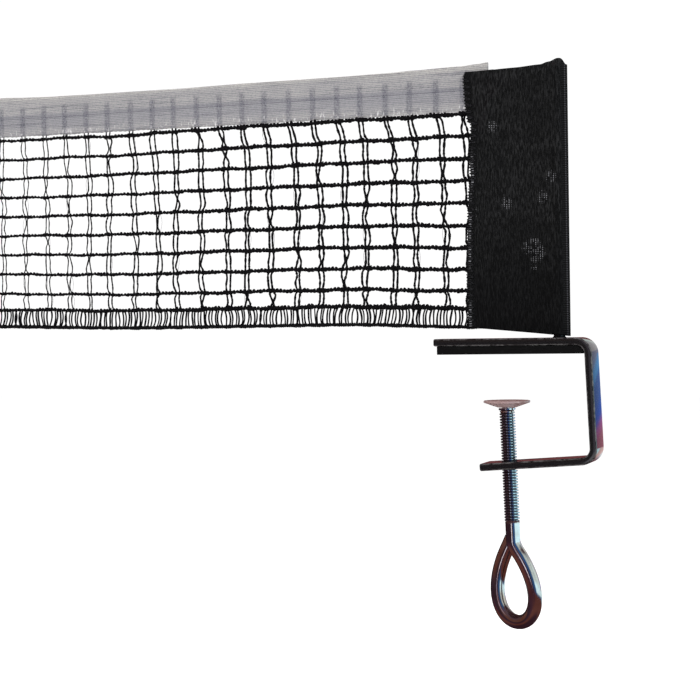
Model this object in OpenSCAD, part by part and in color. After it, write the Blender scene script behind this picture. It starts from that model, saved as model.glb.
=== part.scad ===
// Screw clamp for a table tennis net, with its net post and the end of the net it carries.
// Millimetres. The origin lies on the gripping face of the jaw pad, on the axis of the screw.
// +X points outward, away from the table. The net runs along -X. +Z is up.

/* [Clamp frame] */
// Width of the flat bar, along the table edge
bar_w = 20; // [14:0.5:30]
// Thickness of the flat bar
bar_t = 4; // [3:0.25:6]
// Rounding of the bar's long edges
bar_edge_r = 0.8; // [0.3:0.1:1.2]
// Radius inside both bends of the bar
bend_r = 4.8; // [4.8:0.1:6]
// Distance from the screw axis to the outside of the spine, level with the jaw face
throat = 49.2; // [42:0.2:70]
// Length of the upper arm, from the outside of the spine to its tip
upper_arm_len = 86.2; // [75:0.2:120]
// Length of the lower arm, from the outside of the spine to its tip
lower_arm_len = 64; // [60:0.5:66]
// Clear height between the jaw face and the lower arm, on the screw axis
jaw_height = 57.6; // [45:0.2:80]
// Lean of the spine, its lower end outward, in degrees
spine_lean = 2.5; // [0:0.1:5]
// Droop of the lower arm, its free end down, in degrees
arm_droop = 4; // [0:0.1:6]

/* [Jaw pad] */
// Thickness of the pad under the upper arm
pad_t = 4.5; // [2:0.25:8]
// Distance that the pad stands back from the tip of the arm
pad_setback = 1.9; // [0:0.1:6]
// Distance that the pad stands back from each side of the bar
pad_inset = 0.4; // [0:0.1:2]

/* [Net post] */
// Diameter of the post
post_d = 6; // [4:0.2:8]
// Distance from the screw axis to the post axis
post_x = 30.15; // [24:0.15:34]
// Height of the post's tip above the jaw face
post_h = 155; // [145:0.5:170]
// Size of the weld bead round the post's foot
weld_size = 1.3; // [0.8:0.1:1.4]

/* [Eye screw] */
// Outside diameter of the thread
screw_d = 8; // [6:0.5:10]
// Lean of the screw, its lower end outward, in degrees
screw_lean = 2; // [0:0.1:4]
// Distance from the jaw face down to the end of the straight shank
shank_end = 99; // [92:0.5:115]
// Height of the eye's centre line, from its neck to its lowest point
eye_h = 44.6; // [36:0.2:56]
// Greatest width of the eye's centre line
eye_w = 21.8; // [16:0.2:26]
// Radial clearance of the thread in its tapped hole
thread_clear = 0.05; // [0.02:0.01:0.1]

/* [Pressure plate] */
// Gap between the jaws as drawn, which is the thickness gripped
grip = 25; // [15:0.5:34]
// Diameter of the plate
plate_d = 25; // [18:0.5:32]
// Thickness of the plate's rim
plate_rim_t = 1.2; // [0.8:0.1:2]
// Thickness of the plate at its centre
plate_t = 3.7; // [3.2:0.1:5]
// Diameter of the screw's tip where the plate turns
journal_d = 5; // [4:0.1:5.5]
// Diameter of the thrust washer
washer_d = 9; // [8.5:0.1:11]
// Thickness of the thrust washer
washer_t = 1; // [0.6:0.1:2]
// Play of the plate along the screw, on each side of its web
swivel_play = 0.42; // [0.4:0.01:0.8]

/* [Net] */
// Height of the tape's top edge above the jaw face
net_top = 154.3; // [148:0.1:165]
// Height of the tape's lower edge above the jaw face
tape_bottom = 131; // [125:0.5:140]
// Height of the lowest mesh cord above the jaw face
mesh_bottom = 27.3; // [24:0.1:32]
// Height of the lowest row of gaps, which is less than the others
lowest_gap = 9.4; // [7:0.1:11]
// Height of the hem's lower edge above the jaw face
hem_bottom = 16.5; // [14.5:0.1:18]
// Distance between neighbouring upright strings
column_pitch = 14.35; // [10:0.05:20]
// Number of upright strings
columns = 22; // [8:1:24]
// Number of cords across the mesh, with the one that the hem hangs from
rows = 10; // [7:1:12]
// Thickness of a cord across the mesh
cord_t = 1.8; // [1:0.05:2]
// Width of an upright string, which stands for the two strands of a real one
string_t = 1.4; // [0.8:0.05:2]
// Distance between the rungs of the hem
rung_pitch = 4.2; // [3:0.1:8]
// Distance from the post axis to the net's end, inside the sleeve
net_in = 37; // [30:0.5:40]
// Thickness of the folded tape, both layers and the string between them
tape_t = 1.8; // [1.4:0.1:2.4]

/* [Sleeve] */
// Distance from the post axis to the sleeve's free edge
sleeve_reach = 49.5; // [46:0.5:60]
// Distance from the post axis to the sleeve's fold, past the post
sleeve_fold = 5.9; // [5.2:0.1:8]
// Thickness of the sleeve's cloth
cloth_t = 0.9; // [0.6:0.1:1.5]
// Clearance of the cloth round the post and the net
cloth_clear = 0.35; // [0.3:0.05:0.6]

/* [Hidden] */
$fn = 48;

// Places where one solid has to reach past another to cut or join it
eps = 0.01;
over = 1;

// Corners and ends of the bar's centre line, as points [x, z]
bar_mid = pad_t + bar_t / 2;
spine_mid0 = throat - bar_t / 2;
upper_corner = [spine_mid0 - bar_mid * tan(spine_lean), bar_mid];
lower_arm_mid0 = -jaw_height - bar_t / 2 / cos(arm_droop);
axis_x_at_arm = jaw_height * tan(screw_lean);
lower_corner_z = (lower_arm_mid0 + (spine_mid0 - axis_x_at_arm) * tan(arm_droop))
               / (1 + tan(spine_lean) * tan(arm_droop));
lower_corner = [spine_mid0 - lower_corner_z * tan(spine_lean), lower_corner_z];
upper_tip = [throat - upper_arm_len, bar_mid];
lower_tip = lower_corner
          - (lower_arm_len - bar_t / 2) * [cos(arm_droop), sin(arm_droop)];
bend_mid_r = bend_r + bar_t / 2;
bend_steps = 10;
bar_edge_steps = 4;

// The plate lies level; these heights are below the jaw face
plate_bottom = grip + plate_t;
web_t = plate_t / 2;
web_top = plate_bottom - web_t;
journal_r = journal_d / 2;
// Distances along the screw axis, from the jaw face down
washer_top = plate_bottom / cos(screw_lean) + swivel_play;
shoulder = washer_top + washer_t;
head_bottom = web_top / cos(screw_lean) - swivel_play;
head_t = web_t - swivel_play - 0.35;
head_r = journal_r + 1;
plate_bore_r = journal_r + swivel_play;
recess_r = head_r + 1.1;
washer_clear = 0.05;

// Eye of the screw: a teardrop loop whose tail lies behind the shank
blank_relief = 0.1;
rod_r = screw_d / 2 - blank_relief;
eye_sides = 16;
eye_steps = 44;
eye_first = 40;
eye_last = 320;
eye_drop = 1.5;
eye_top = shank_end + eye_drop;
tail_gap = 0.1;
tail_offset = screw_d + tail_gap;
// The loop leans to the tail's side at its neck
eye_neck_shift = 2.2;
// The rod starts inside the shank, swings out below it, and ends in a straight tail
neck_inside = 4;
neck_drop = 4.4;
neck_swing = 0.75;
neck_curve = 1.6;
tail_len = 6.6;
teardrop_power = 0.8;
// Greatest value of the teardrop formula below, for this power
teardrop_peak = 0.803;

// Heights of the mesh cords, from the tape down, and places of the upright strings
row_pitch = (tape_bottom - cord_t / 2 - mesh_bottom - lowest_gap) / (rows - 2);
row_z = concat([for (i = [0:rows - 2]) tape_bottom - cord_t / 2 - i * row_pitch], [mesh_bottom]);
net_end = post_x - net_in;
first_column = 49.2;
column0 = post_x - first_column;
net_far = column0 - (columns - 1) * column_pitch - string_t;
tape_wall = 0.45;
tape_gap = tape_t - 2 * tape_wall;
string_depth = tape_gap - 0.1;
hem_line_t = 1.4;
rung_t = 0.8;

// Sleeve: flat flaps either side of the net, and a pocket round the post
slot_half = max(tape_t, cord_t) / 2 + cloth_clear;
flap_half = slot_half + cloth_t;
pocket_r = post_d / 2 + cloth_clear;
sleeve_r = pocket_r + cloth_t;
fold_half = 1.3;
sleeve_lift = 0.8;
sleeve_bottom = pad_t + bar_t + sleeve_lift;
// The sleeve's free edge, from the top: it stands out beside the tape, steps in below it and runs
// out again lower down. Points [x, z]: x from the sleeve's reach, z from the tape's lower edge
free_edge = [[0, post_h - 2.6 - tape_bottom], [-0.5, 18], [0.3, 5], [1.2, -4.6], [3.1, -5.8],
             [2.4, -19], [2.8, -33], [1, -46], [0, -71]];
// Outline of the sleeve in the plane of the net, from the post axis, as points [x, z]
sleeve_outline = concat([[-sleeve_reach, sleeve_bottom + 5.2], [-3.5, sleeve_bottom + 0.7],
                         [sleeve_fold, sleeve_bottom], [sleeve_fold - 0.2, post_h - 1.8],
                         [1.9, post_h + 1.8], [-3.7, post_h], [-8.6, post_h - 1.2]],
                        [for (p = free_edge) [p[0] - sleeve_reach, p[1] + tape_bottom]]);

// Rounded outline of the flat bar: its thickness first, its width second
function bar_outline() =
    let (r = bar_edge_r, side = [bar_t / 2 - r, bar_w / 2 - r])
    [for (quarter = [0:3], k = [0:bar_edge_steps])
         let (a = 90 * (quarter + k / bar_edge_steps), s = sign_pair(quarter))
         [s[0] * side[0] + r * cos(a), s[1] * side[1] + r * sin(a)]];

// Signs of the corner in each quarter of a turn
function sign_pair(quarter) = [quarter == 0 || quarter == 3 ? 1 : -1, quarter < 2 ? 1 : -1];

// Round outline of radius r
function rod_outline(r, sides) =
    [for (k = [0:sides - 1]) r * [cos(360 * k / sides), sin(360 * k / sides)]];

// Points of a bend from heading `from`, turning clockwise through `angle`; [x, z] becomes [x, 0, z]
function bend_points(corner, from, angle) =
    let (cut = bend_mid_r * tan(angle / 2),
         start = corner - cut * [cos(from), sin(from)],
         centre = start + bend_mid_r * [sin(from), -cos(from)])
    [for (k = [0:bend_steps])
         let (a = 90 + from - angle * k / bend_steps)
         [centre[0] + bend_mid_r * cos(a), 0, centre[1] + bend_mid_r * sin(a)]];

// Centre line of the bar, from the upper arm's tip round to the lower arm's tip
function bar_path() =
    concat([[upper_tip[0], 0, upper_tip[1]]],
           bend_points(upper_corner, 0, 90 - spine_lean),
           bend_points(lower_corner, spine_lean - 90, 90 + spine_lean - arm_droop),
           [[lower_tip[0], 0, lower_tip[1]]]);

// Unit heading of a path at its point i
function heading_at(path, i) =
    let (a = path[max(i - 1, 0)], b = path[min(i + 1, len(path) - 1)])
    (b - a) / norm(b - a);

// Solid swept by an outline along a path that never runs along y
module swept(path, outline) {
    rings = len(path);
    sides = len(outline);
    points = [for (i = [0:rings - 1])
                  let (h = heading_at(path, i),
                       u = cross([0, 1, 0], h) / norm(cross([0, 1, 0], h)),
                       v = cross(h, u))
                  for (p = outline) path[i] + p[0] * u + p[1] * v];
    walls = [for (i = [0:rings - 2], k = [0:sides - 1])
                 let (n = (k + 1) % sides, p = i * sides, q = p + sides)
                 each [[p + k, q + k, q + n], [p + k, q + n, p + n]]];
    caps = [[for (k = [0:sides - 1]) k],
            [for (k = [sides - 1:-1:0]) (rings - 1) * sides + k]];
    polyhedron(points, concat(walls, caps), convexity = 6);
}

// Bent flat bar with the hole for the post and the tapped hole for the screw
module clamp_frame() {
    color("#141416")
    difference() {
        swept(bar_path(), bar_outline());
        translate([post_x, 0, pad_t - over]) cylinder(d = post_d, h = bar_t + 2 * over);
        along_screw(jaw_height - 2 * over)
            cylinder(r = screw_d / 2 + thread_clear, h = bar_t + 4 * over);
    }
}

// Strip under the upper arm; its inner end clears the inside of the bend
module jaw_pad() {
    r = bend_r - 0.2;
    end_x = throat - bar_t - 0.4;
    color("#1c1c1e")
    translate([0, bar_w / 2 - pad_inset, 0])
        rotate([90, 0, 0])
            linear_extrude(bar_w - 2 * pad_inset)
                difference() {
                    translate([upper_tip[0] + pad_setback, 0])
                        square([end_x - upper_tip[0] - pad_setback, pad_t]);
                    translate([end_x - r, pad_t - r])
                        difference() {
                            square(r + over);
                            circle(r);
                        }
                }
}

// Round post let into the upper arm, with a domed tip
module net_post() {
    dome = post_d / 2;
    color("#161618")
    translate([post_x, 0, 0]) {
        translate([0, 0, pad_t]) cylinder(r = dome, h = post_h - dome - pad_t);
        translate([0, 0, post_h - dome]) sphere(dome);
    }
}

// Concave bead of weld round the foot of the post
module post_weld() {
    color("#202022")
    translate([post_x, 0, pad_t + bar_t])
        rotate_extrude()
            translate([post_d / 2, 0])
                difference() {
                    square(weld_size);
                    translate([weld_size, weld_size]) circle(weld_size);
                }
}

// Puts its children on the screw axis, `depth` below the jaw face, with their +z pointing down
module along_screw(depth = 0) {
    rotate([0, -screw_lean, 0])
        translate([0, 0, -depth])
            rotate([180, 0, 0]) children();
}

// Centre of the eye's rod at parameter t, in degrees: 0 is the neck and 180 the lowest point.
// The point is [across, along, down] from the jaw face, with `along` behind the shank.
function eye_point(t) =
    let (reach = eye_w / 2 / teardrop_peak,
         lobe = sin(t) * pow(sin(t / 2), teardrop_power),
         turned = (t - eye_first) / (eye_last - eye_first))
    [reach * lobe - eye_neck_shift * (1 + cos(t)) / 2,
     tail_offset * (1 - cos(180 * turned)) / 2,
     eye_top + eye_h / 2 * (1 - cos(t))];

// Whole centre line of the rod below the shank: neck, loop and tail
function eye_path() =
    let (step = (eye_last - eye_first) / eye_steps,
         loop = [for (i = [0:eye_steps]) eye_point(eye_first + i * step)],
         last = loop[eye_steps],
         heading = (last - loop[eye_steps - 1]) / norm(last - loop[eye_steps - 1]))
    concat([for (k = [1, 0.5, 0]) [0, 0, shank_end - k * neck_inside]],
           [for (k = [0.5, 1]) [neck_swing * pow(k, neck_curve), 0, shank_end + k * neck_drop]],
           loop,
           [for (k = [1 / 3, 2 / 3, 1]) last + k * tail_len * heading]);

// Threaded rod with a riveted tip above and a finger loop bent from the same rod below
module eye_screw() {
    chamfer = 0.6;
    color("#b9bcc2") {
        along_screw(head_bottom - head_t) cylinder(r = head_r, h = head_t);
        along_screw(head_bottom - eps) cylinder(r = journal_r, h = shoulder - head_bottom + 2 * eps);
        along_screw(shoulder)
            cylinder(r1 = screw_d / 2 - chamfer, r2 = screw_d / 2, h = chamfer);
        along_screw(shoulder + chamfer)
            cylinder(d = screw_d, h = shank_end - shoulder - chamfer);
        along_screw()
            swept([for (p = eye_path()) [p[0], -p[1], p[2]]], rod_outline(rod_r, eye_sides));
    }
}

// Flat washer that turns on the tip of the screw
module thrust_washer() {
    color("#a9abb0")
    along_screw(washer_top)
        difference() {
            cylinder(d = washer_d, h = washer_t);
            translate([0, 0, -over])
                cylinder(r = journal_r + washer_clear, h = washer_t + 2 * over);
        }
}

// Round plate, flat above and coned below, with a recess for the riveted tip
module pressure_plate() {
    r = plate_d / 2;
    boss_r = washer_d / 2 + 0.7;
    color("#8f8a88")
    translate([plate_bottom * tan(screw_lean), 0, -plate_bottom])
        rotate_extrude()
            polygon([[plate_bore_r, 0], [boss_r, 0], [r, plate_t - plate_rim_t], [r, plate_t],
                     [recess_r, plate_t], [recess_r, web_t], [plate_bore_r, web_t]]);
}

// Woven pocket: two flaps that hold the net's end, and a pocket closed above the post
module net_sleeve() {
    color("#191919")
    translate([post_x, 0, 0])
        difference() {
            intersection() {
                linear_extrude(post_h + 5) sleeve_plan();
                translate([0, sleeve_r + over, 0])
                    rotate([90, 0, 0])
                        linear_extrude(2 * (sleeve_r + over)) polygon(sleeve_outline);
            }
            translate([0, 0, -over])
                cylinder(r = pocket_r, h = post_h - post_d / 2 + over);
            translate([0, 0, post_h - post_d / 2]) sphere(pocket_r);
            translate([-sleeve_reach - 2, -slot_half, -over])
                cube([sleeve_reach + 2 - net_in + cloth_clear, 2 * slot_half, post_h + 10]);
        }
}

// Sleeve seen from above, about the post axis
module sleeve_plan() {
    shoulder_x = -3 * sleeve_r;
    side = [-sleeve_r * sin(30), sleeve_r * cos(30)];
    circle(sleeve_r);
    translate([-sleeve_reach - 1, -flap_half]) square([sleeve_reach + 1, 2 * flap_half]);
    polygon([side, [shoulder_x, flap_half], [shoulder_x, -flap_half], [side[0], -side[1]]]);
    translate([0, -fold_half]) square([sleeve_fold, 2 * fold_half]);
}

// Pale band folded over the top of the mesh
module net_tape() {
    color("#c9cacb")
    difference() {
        translate([net_far, -tape_t / 2, tape_bottom])
            cube([net_end - net_far, tape_t, net_top - tape_bottom]);
        translate([net_far - over, -tape_gap / 2, tape_bottom - over])
            cube([net_end - net_far + 2 * over, tape_gap,
                  net_top - tape_bottom - tape_wall + over]);
    }
}

// Netting: cords across, upright strings that run up into the tape
module net_mesh() {
    string_top = net_top - tape_wall - cloth_clear;
    color("#151517") {
        for (z = row_z)
            translate([net_far, -cord_t / 2, z - cord_t / 2])
                cube([net_end - net_far, cord_t, cord_t]);
        for (x = concat([net_end - string_t / 2],
                        [for (i = [0:columns - 1]) column0 - i * column_pitch]))
            translate([x - string_t / 2, -string_depth / 2, mesh_bottom])
                cube([string_t, string_depth, string_top - mesh_bottom]);
    }
}

// Ladder of rungs between the lowest cord and a dense line below it
module net_hem() {
    top = mesh_bottom - cord_t / 2;
    span = net_end - net_far;
    count = floor((span - rung_t) / rung_pitch);
    pitch = (span - rung_t) / count;
    color("#131315") {
        translate([net_far, -cord_t / 2, hem_bottom]) cube([span, cord_t, hem_line_t]);
        for (i = [0:count])
            translate([net_far + i * pitch, -string_depth / 2, hem_bottom])
                cube([rung_t, string_depth, top - hem_bottom]);
    }
}

clamp_frame();
jaw_pad();
net_post();
post_weld();
eye_screw();
thrust_washer();
pressure_plate();
net_sleeve();
net_tape();
net_mesh();
net_hem();
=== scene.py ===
"""Dresses the table tennis net clamp: painted bracket, plated eye screw, sleeve, tape and netting.

Every piece is built in metres in the row frame, where the origin lies on the gripping face of the
jaw pad, +X points away from the table, the net runs along -X and +Z is up. Sizes are written in
millimetres and turned into metres by `mm`.
"""

import logging
import math
import random
from dataclasses import dataclass, field
from enum import Enum
from typing import Callable, Sequence

import bpy
import numpy as np
from mathutils import Matrix, Vector


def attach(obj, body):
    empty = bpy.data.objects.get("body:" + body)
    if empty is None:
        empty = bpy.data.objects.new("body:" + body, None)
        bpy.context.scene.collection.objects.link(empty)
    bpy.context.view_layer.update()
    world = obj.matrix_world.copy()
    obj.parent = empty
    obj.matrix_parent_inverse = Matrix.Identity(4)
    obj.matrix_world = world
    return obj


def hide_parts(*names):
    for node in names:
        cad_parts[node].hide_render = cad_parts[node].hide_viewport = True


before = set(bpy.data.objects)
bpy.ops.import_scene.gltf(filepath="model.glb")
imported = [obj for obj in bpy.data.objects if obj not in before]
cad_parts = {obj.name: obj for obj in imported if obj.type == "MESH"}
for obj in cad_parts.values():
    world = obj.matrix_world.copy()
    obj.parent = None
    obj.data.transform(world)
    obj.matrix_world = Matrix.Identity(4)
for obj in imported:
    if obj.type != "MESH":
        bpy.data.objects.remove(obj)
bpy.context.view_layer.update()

LOG = logging.getLogger("net_clamp")
MILLI = 0.001
TURN = 2 * math.pi
ANY_PHASE = (0.0, 6.28)
Y_AXIS = Vector((0, 1, 0))

# Sizes that several classes share, in millimetres and degrees.
POST_X = 30.15
SCREW_LEAN = 2.0
NET_TOP = 154.3

Colour = tuple[float, float, float]
Point2 = tuple[float, float]
Point3 = tuple[float, float, float]


class Body(Enum):
    """The bodies that pieces ride on."""

    CLAMP = "clamp"
    WASHER = "feed_washer"
    SCREW = "eye_screw"
    PLATE = "pressure_plate"
    NET = "net"


class Slot(Enum):
    """The material slots of the record."""

    PAINT = "frame_paint"
    RUBBER = "pad_rubber"
    ZINC = "screw_zinc"
    PLATE = "plate_steel"
    SLEEVE = "sleeve_cloth"
    TAPE = "tape_cloth"
    CORD = "net_cord"


class Hold(Enum):
    """How a sheet of cloth is held."""

    FOLDED = "folded"


def fit(thing: bpy.types.Object, body: Body, node: str | None = None) -> None:
    """Puts a finished piece on its body.

    Args:
        thing: The piece.
        body: The body that it rides on.
        node: The CAD solid that it stands in for, if it is the first piece to do so.
    """
    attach(thing, body.value)
    if node:
        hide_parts(node)
    LOG.info("%s rides on %s", thing.name, body.value)


def mm(*values: float) -> Vector:
    """A point or a vector in metres, from its millimetres."""
    return Vector(values) * MILLI


def smoothstep(low: float, high: float, value: float) -> float:
    """0 below low, 1 above high, and a smooth rise between them."""
    t = min(max((value - low) / (high - low), 0.0), 1.0)
    return t * t * (3 - 2 * t)


def lerp(a: float, b: float, t: float) -> float:
    """The value that lies the share t of the way from a to b."""
    return a + (b - a) * t


def through(stops: Sequence[Point2], at: float) -> float:
    """Reads a smooth line through stops.

    Args:
        stops: A (place, value) for each, in rising order of place.
        at: The place to read.

    Returns:
        The value there, which is level before the first stop and after the last.
    """
    if at <= stops[0][0]:
        return stops[0][1]
    for (x0, y0), (x1, y1) in zip(stops, stops[1:]):
        if at <= x1:
            return lerp(y0, y1, smoothstep(x0, x1, at))
    return stops[-1][1]


# --- Shaders ---


class Signal:
    """One output of a shader node; Python's operators on it add Math nodes."""

    def __init__(self, nodes: "Nodes", socket: bpy.types.NodeSocket) -> None:
        """Wraps an output socket of a node in the tree that `nodes` makes."""
        self.nodes = nodes
        self.socket = socket

    def maths(self, operation: str, *others: "Signal | float") -> "Signal":
        """A Math node with this signal as its first value and the others after it."""
        return self.nodes.calculate(operation, self, *others)

    def __add__(self, other: "Signal | float") -> "Signal":
        """self + other."""
        return self.maths("ADD", other)

    def __radd__(self, other: float) -> "Signal":
        """other + self."""
        return self.maths("ADD", other)

    def __sub__(self, other: "Signal | float") -> "Signal":
        """self - other."""
        return self.maths("SUBTRACT", other)

    def __rsub__(self, other: float) -> "Signal":
        """other - self."""
        return self.nodes.calculate("SUBTRACT", other, self)

    def __mul__(self, other: "Signal | float") -> "Signal":
        """self * other."""
        return self.maths("MULTIPLY", other)

    def __rmul__(self, other: float) -> "Signal":
        """other * self."""
        return self.maths("MULTIPLY", other)

    def __truediv__(self, other: "Signal | float") -> "Signal":
        """self / other."""
        return self.maths("DIVIDE", other)

    def __rtruediv__(self, other: float) -> "Signal":
        """other / self."""
        return self.nodes.calculate("DIVIDE", other, self)

    def __abs__(self) -> "Signal":
        """The size of self without its sign."""
        return self.maths("ABSOLUTE")

    def sine(self) -> "Signal":
        """The sine of self, in radians."""
        return self.maths("SINE")

    def waves(self, length: float) -> "Signal":
        """A sine wave from -1 to 1 that repeats each time self grows by `length`."""
        return (self * (TURN / length)).sine()

    def ribs(self, length: float) -> "Signal":
        """The same wave from 0 to 1."""
        return self.waves(length) * 0.5 + 0.5

    def between(self, low: float, high: float) -> "Signal":
        """A smooth 0 to 1 as self goes from low to high; high may be the lower one."""
        return self.nodes.node(
            "ShaderNodeMapRange", {"interpolation_type": "SMOOTHSTEP"},
            {"Value": self, "From Min": low, "From Max": high})


class Nodes:
    """A node tree and the few ways in which its nodes are made."""

    def __init__(self, tree: bpy.types.NodeTree) -> None:
        """Takes over the tree of a material or a world, and empties it."""
        self.tree = tree
        self.tree.nodes.clear()

    def node(self, kind: str, settings: dict[str, object] | None = None,
             inputs: dict[str | int, object] | None = None, output: str | int = 0) -> Signal:
        """Adds any node.

        Args:
            kind: The node's type.
            settings: The node's own properties, which are set first.
            inputs: A value or a Signal for each input, by name or by index.
            output: The name or index of the output to return.

        Returns:
            The chosen output.
        """
        made = self.tree.nodes.new(kind)
        for name, value in (settings or {}).items():
            setattr(made, name, value)
        for name, value in (inputs or {}).items():
            if isinstance(value, Signal):
                self.tree.links.new(value.socket, made.inputs[name])
            else:
                made.inputs[name].default_value = value
        return Signal(self, made.outputs[output])

    def calculate(self, operation: str, *values: "Signal | float") -> Signal:
        """A Math node of these values."""
        return self.node("ShaderNodeMath", {"operation": operation}, dict(enumerate(values)))

    def mix(self, share: "Signal | float", a: "Signal | Colour", b: "Signal | Colour") -> Signal:
        """Blends two colours.

        Args:
            share: 0 for a, 1 for b.
            a: The first colour.
            b: The second colour.

        Returns:
            The blend.
        """
        def rgba(colour: "Signal | Colour") -> object:
            """The colour as a socket takes it."""
            return colour if isinstance(colour, Signal) else (*colour, 1.0)

        return self.node("ShaderNodeMix", {"data_type": "RGBA"},
                         {0: share, 6: rgba(a), 7: rgba(b)}, output=2)

    def layered(self, level: Signal, colour: "Signal | Colour",
                layers: "Sequence[tuple[float, float, Signal | Colour]]") -> Signal:
        """Lays colours over one another.

        Args:
            level: The number that tells where each one starts.
            colour: The lowest colour.
            layers: The level at which each next one starts, that at which it is full, and it.

        Returns:
            The blend.
        """
        for start, full, over in layers:
            colour = self.mix(level.between(start, full), colour, over)
        return colour

    def split(self, vector: Signal) -> tuple[Signal, Signal, Signal]:
        """The three numbers of a vector."""
        parts = self.node("ShaderNodeSeparateXYZ", inputs={0: vector}).socket.node.outputs
        return Signal(self, parts[0]), Signal(self, parts[1]), Signal(self, parts[2])


class Shader(Nodes):
    """A node material."""

    def __init__(self, name: str) -> None:
        """Starts an empty node material.

        Args:
            name: The material's name.
        """
        self.material = bpy.data.materials.new(name)
        self.material.use_nodes = True
        super().__init__(self.material.node_tree)
        self.output = self.tree.nodes.new("ShaderNodeOutputMaterial")

    def place(self) -> Signal:
        """The point of the surface in the row frame, in metres, which rides with its body."""
        return self.node("ShaderNodeTexCoord", output="Object")

    def axes(self) -> tuple[Signal, Signal, Signal]:
        """The surface point's x, y and z, in millimetres."""
        x, y, z = self.split(self.place())
        return x / MILLI, y / MILLI, z / MILLI

    def stretched(self, x: float, y: float, z: float) -> Signal:
        """The surface point with each axis multiplied, to draw a texture out along one."""
        return self.node("ShaderNodeVectorMath", {"operation": "MULTIPLY"},
                         {0: self.place(), 1: (x, y, z)})

    def noise(self, cell: float, detail: float = 3.0, roughness: float = 0.5,
              at: Signal | None = None) -> Signal:
        """Cloudy noise from 0 to 1.

        Args:
            cell: The size of its largest clouds, in millimetres.
            detail: How many finer layers it has.
            roughness: How strong those are.
            at: Where it is read, or the surface point.

        Returns:
            The noise.
        """
        return self.node("ShaderNodeTexNoise", inputs={
            "Vector": at or self.place(), "Scale": 1 / (cell * MILLI), "Detail": detail,
            "Roughness": roughness})

    def cells(self, size: float, at: Signal | None = None) -> Signal:
        """The distance to the nearest of scattered points, about `size` millimetres apart."""
        return self.node("ShaderNodeTexVoronoi", inputs={
            "Vector": at or self.place(), "Scale": 1 / (size * MILLI)}, output="Distance")

    def attribute(self, name: str) -> Signal:
        """A number that the mesh carries on its points."""
        return self.node("ShaderNodeAttribute", {"attribute_name": name}, output="Fac")

    def bump(self, height: Signal, depth: float, strength: float = 1.0) -> Signal:
        """A normal that makes a 0 to 1 height look `depth` millimetres deep."""
        return self.node("ShaderNodeBump", inputs={
            "Height": height, "Distance": depth * MILLI, "Strength": strength})

    def finish(self, **values: object) -> bpy.types.Material:
        """Adds the surface shader and ends the material.

        Args:
            values: Inputs of the Principled BSDF, with underscores for spaces.

        Returns:
            The finished material.
        """
        surface = self.node("ShaderNodeBsdfPrincipled", inputs={
            name.replace("_", " "): value for name, value in values.items()})
        self.tree.links.new(surface.socket, self.output.inputs["Surface"])
        return self.material


# --- Finishes ---


@dataclass(frozen=True)
class GlossPaint:
    """Gloss black enamel with faint orange peel, dust and rubbed edges; depth in millimetres."""

    name: str = "bracket_enamel"
    colour: Colour = (0.005, 0.0048, 0.005)
    dust: Colour = (0.012, 0.011, 0.011)
    rubbed: Colour = (0.052, 0.049, 0.049)
    gloss: float = 0.05
    peel_depth: float = 0.008

    def make(self) -> bpy.types.Material:
        """Makes the finish.

        Returns:
            The material.
        """
        s = Shader(self.name)
        clouds = s.noise(14, 4)
        specks = s.cells(2.2).between(0.16, 0.06) * s.noise(9, 2).between(0.5, 0.65)
        rub = s.attribute("edge") * s.noise(3, 5, 0.65).between(0.38, 0.62)
        colour = s.mix(specks * 0.5, self.colour, self.dust)
        colour = s.mix(rub, colour, self.rubbed)
        scratches = s.noise(1.2, 2, at=s.stretched(0.12, 1.0, 1.0)).between(0.6, 0.75)
        peel = s.noise(1.6, 2)
        return s.finish(
            Base_Color=colour,
            Roughness=self.gloss + clouds * 0.05 + scratches * 0.06 + rub * 0.2,
            Normal=s.bump(peel + scratches * 0.15, self.peel_depth, 0.6))


@dataclass(frozen=True)
class PadRubber:
    """Matt black rubber with a fine moulded grain, its size and depth in millimetres."""

    name: str = "pad_rubber"
    colour: Colour = (0.0025, 0.0025, 0.0026)
    chalk: Colour = (0.008, 0.008, 0.0085)
    grain_size: float = 0.7
    grain_depth: float = 0.06

    def make(self) -> bpy.types.Material:
        """Makes the finish.

        Returns:
            The material.
        """
        s = Shader(self.name)
        grain = s.noise(self.grain_size, 3)
        scuffs = s.noise(5, 5, 0.6).between(0.55, 0.75)
        return s.finish(
            Base_Color=s.mix(scuffs * 0.5, self.colour, self.chalk),
            Roughness=0.6 + grain * 0.25,
            Specular_IOR_Level=0.15,
            Normal=s.bump(grain, self.grain_depth, 0.7))


@dataclass(frozen=True)
class PlatedSteel:
    """Bright zinc over steel; painted reflection blues the thread, painted shade darkens its roots.

    drawn_depth is that of the lines drawn along the rod, in millimetres.
    """

    name: str
    bright: Colour = (0.58, 0.56, 0.57)
    warm: Colour = (0.46, 0.37, 0.34)
    painted_root_shade: Colour = (0.03, 0.02, 0.022)
    painted_blue_reflection: Colour = (0.45, 0.54, 0.61)
    roughness: float = 0.08
    metallic: float = 1.0
    drawn_depth: float = 0.02

    def make(self) -> bpy.types.Material:
        """Makes the finish.

        Returns:
            The material.
        """
        s = Shader(self.name)
        root = s.attribute("groove")
        tint = s.noise(11, 3).between(0.35, 0.7)
        stain = s.noise(2.5, 5, 0.65).between(0.58, 0.74)
        colour = s.mix(tint, self.bright, self.warm)
        # Painted reflection: where the thread is full, the zinc is tinted bluer than on the plain
        # rod.
        colour = s.mix(s.attribute("cut"), colour, self.painted_blue_reflection)
        # Painted shade: the thread's roots are darkened, unevenly by the stain noise.
        colour = s.mix(root * (0.55 + stain * 0.4), colour, self.painted_root_shade)
        drawn = s.noise(0.5, 2, at=s.stretched(1.0, 1.0, 0.08))
        return s.finish(
            Base_Color=colour,
            Metallic=self.metallic,
            Roughness=self.roughness + stain * 0.08 + drawn * 0.05 + root * 0.08,
            Normal=s.bump(drawn + s.noise(4, 3) * 0.5, self.drawn_depth, 0.5))


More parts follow.
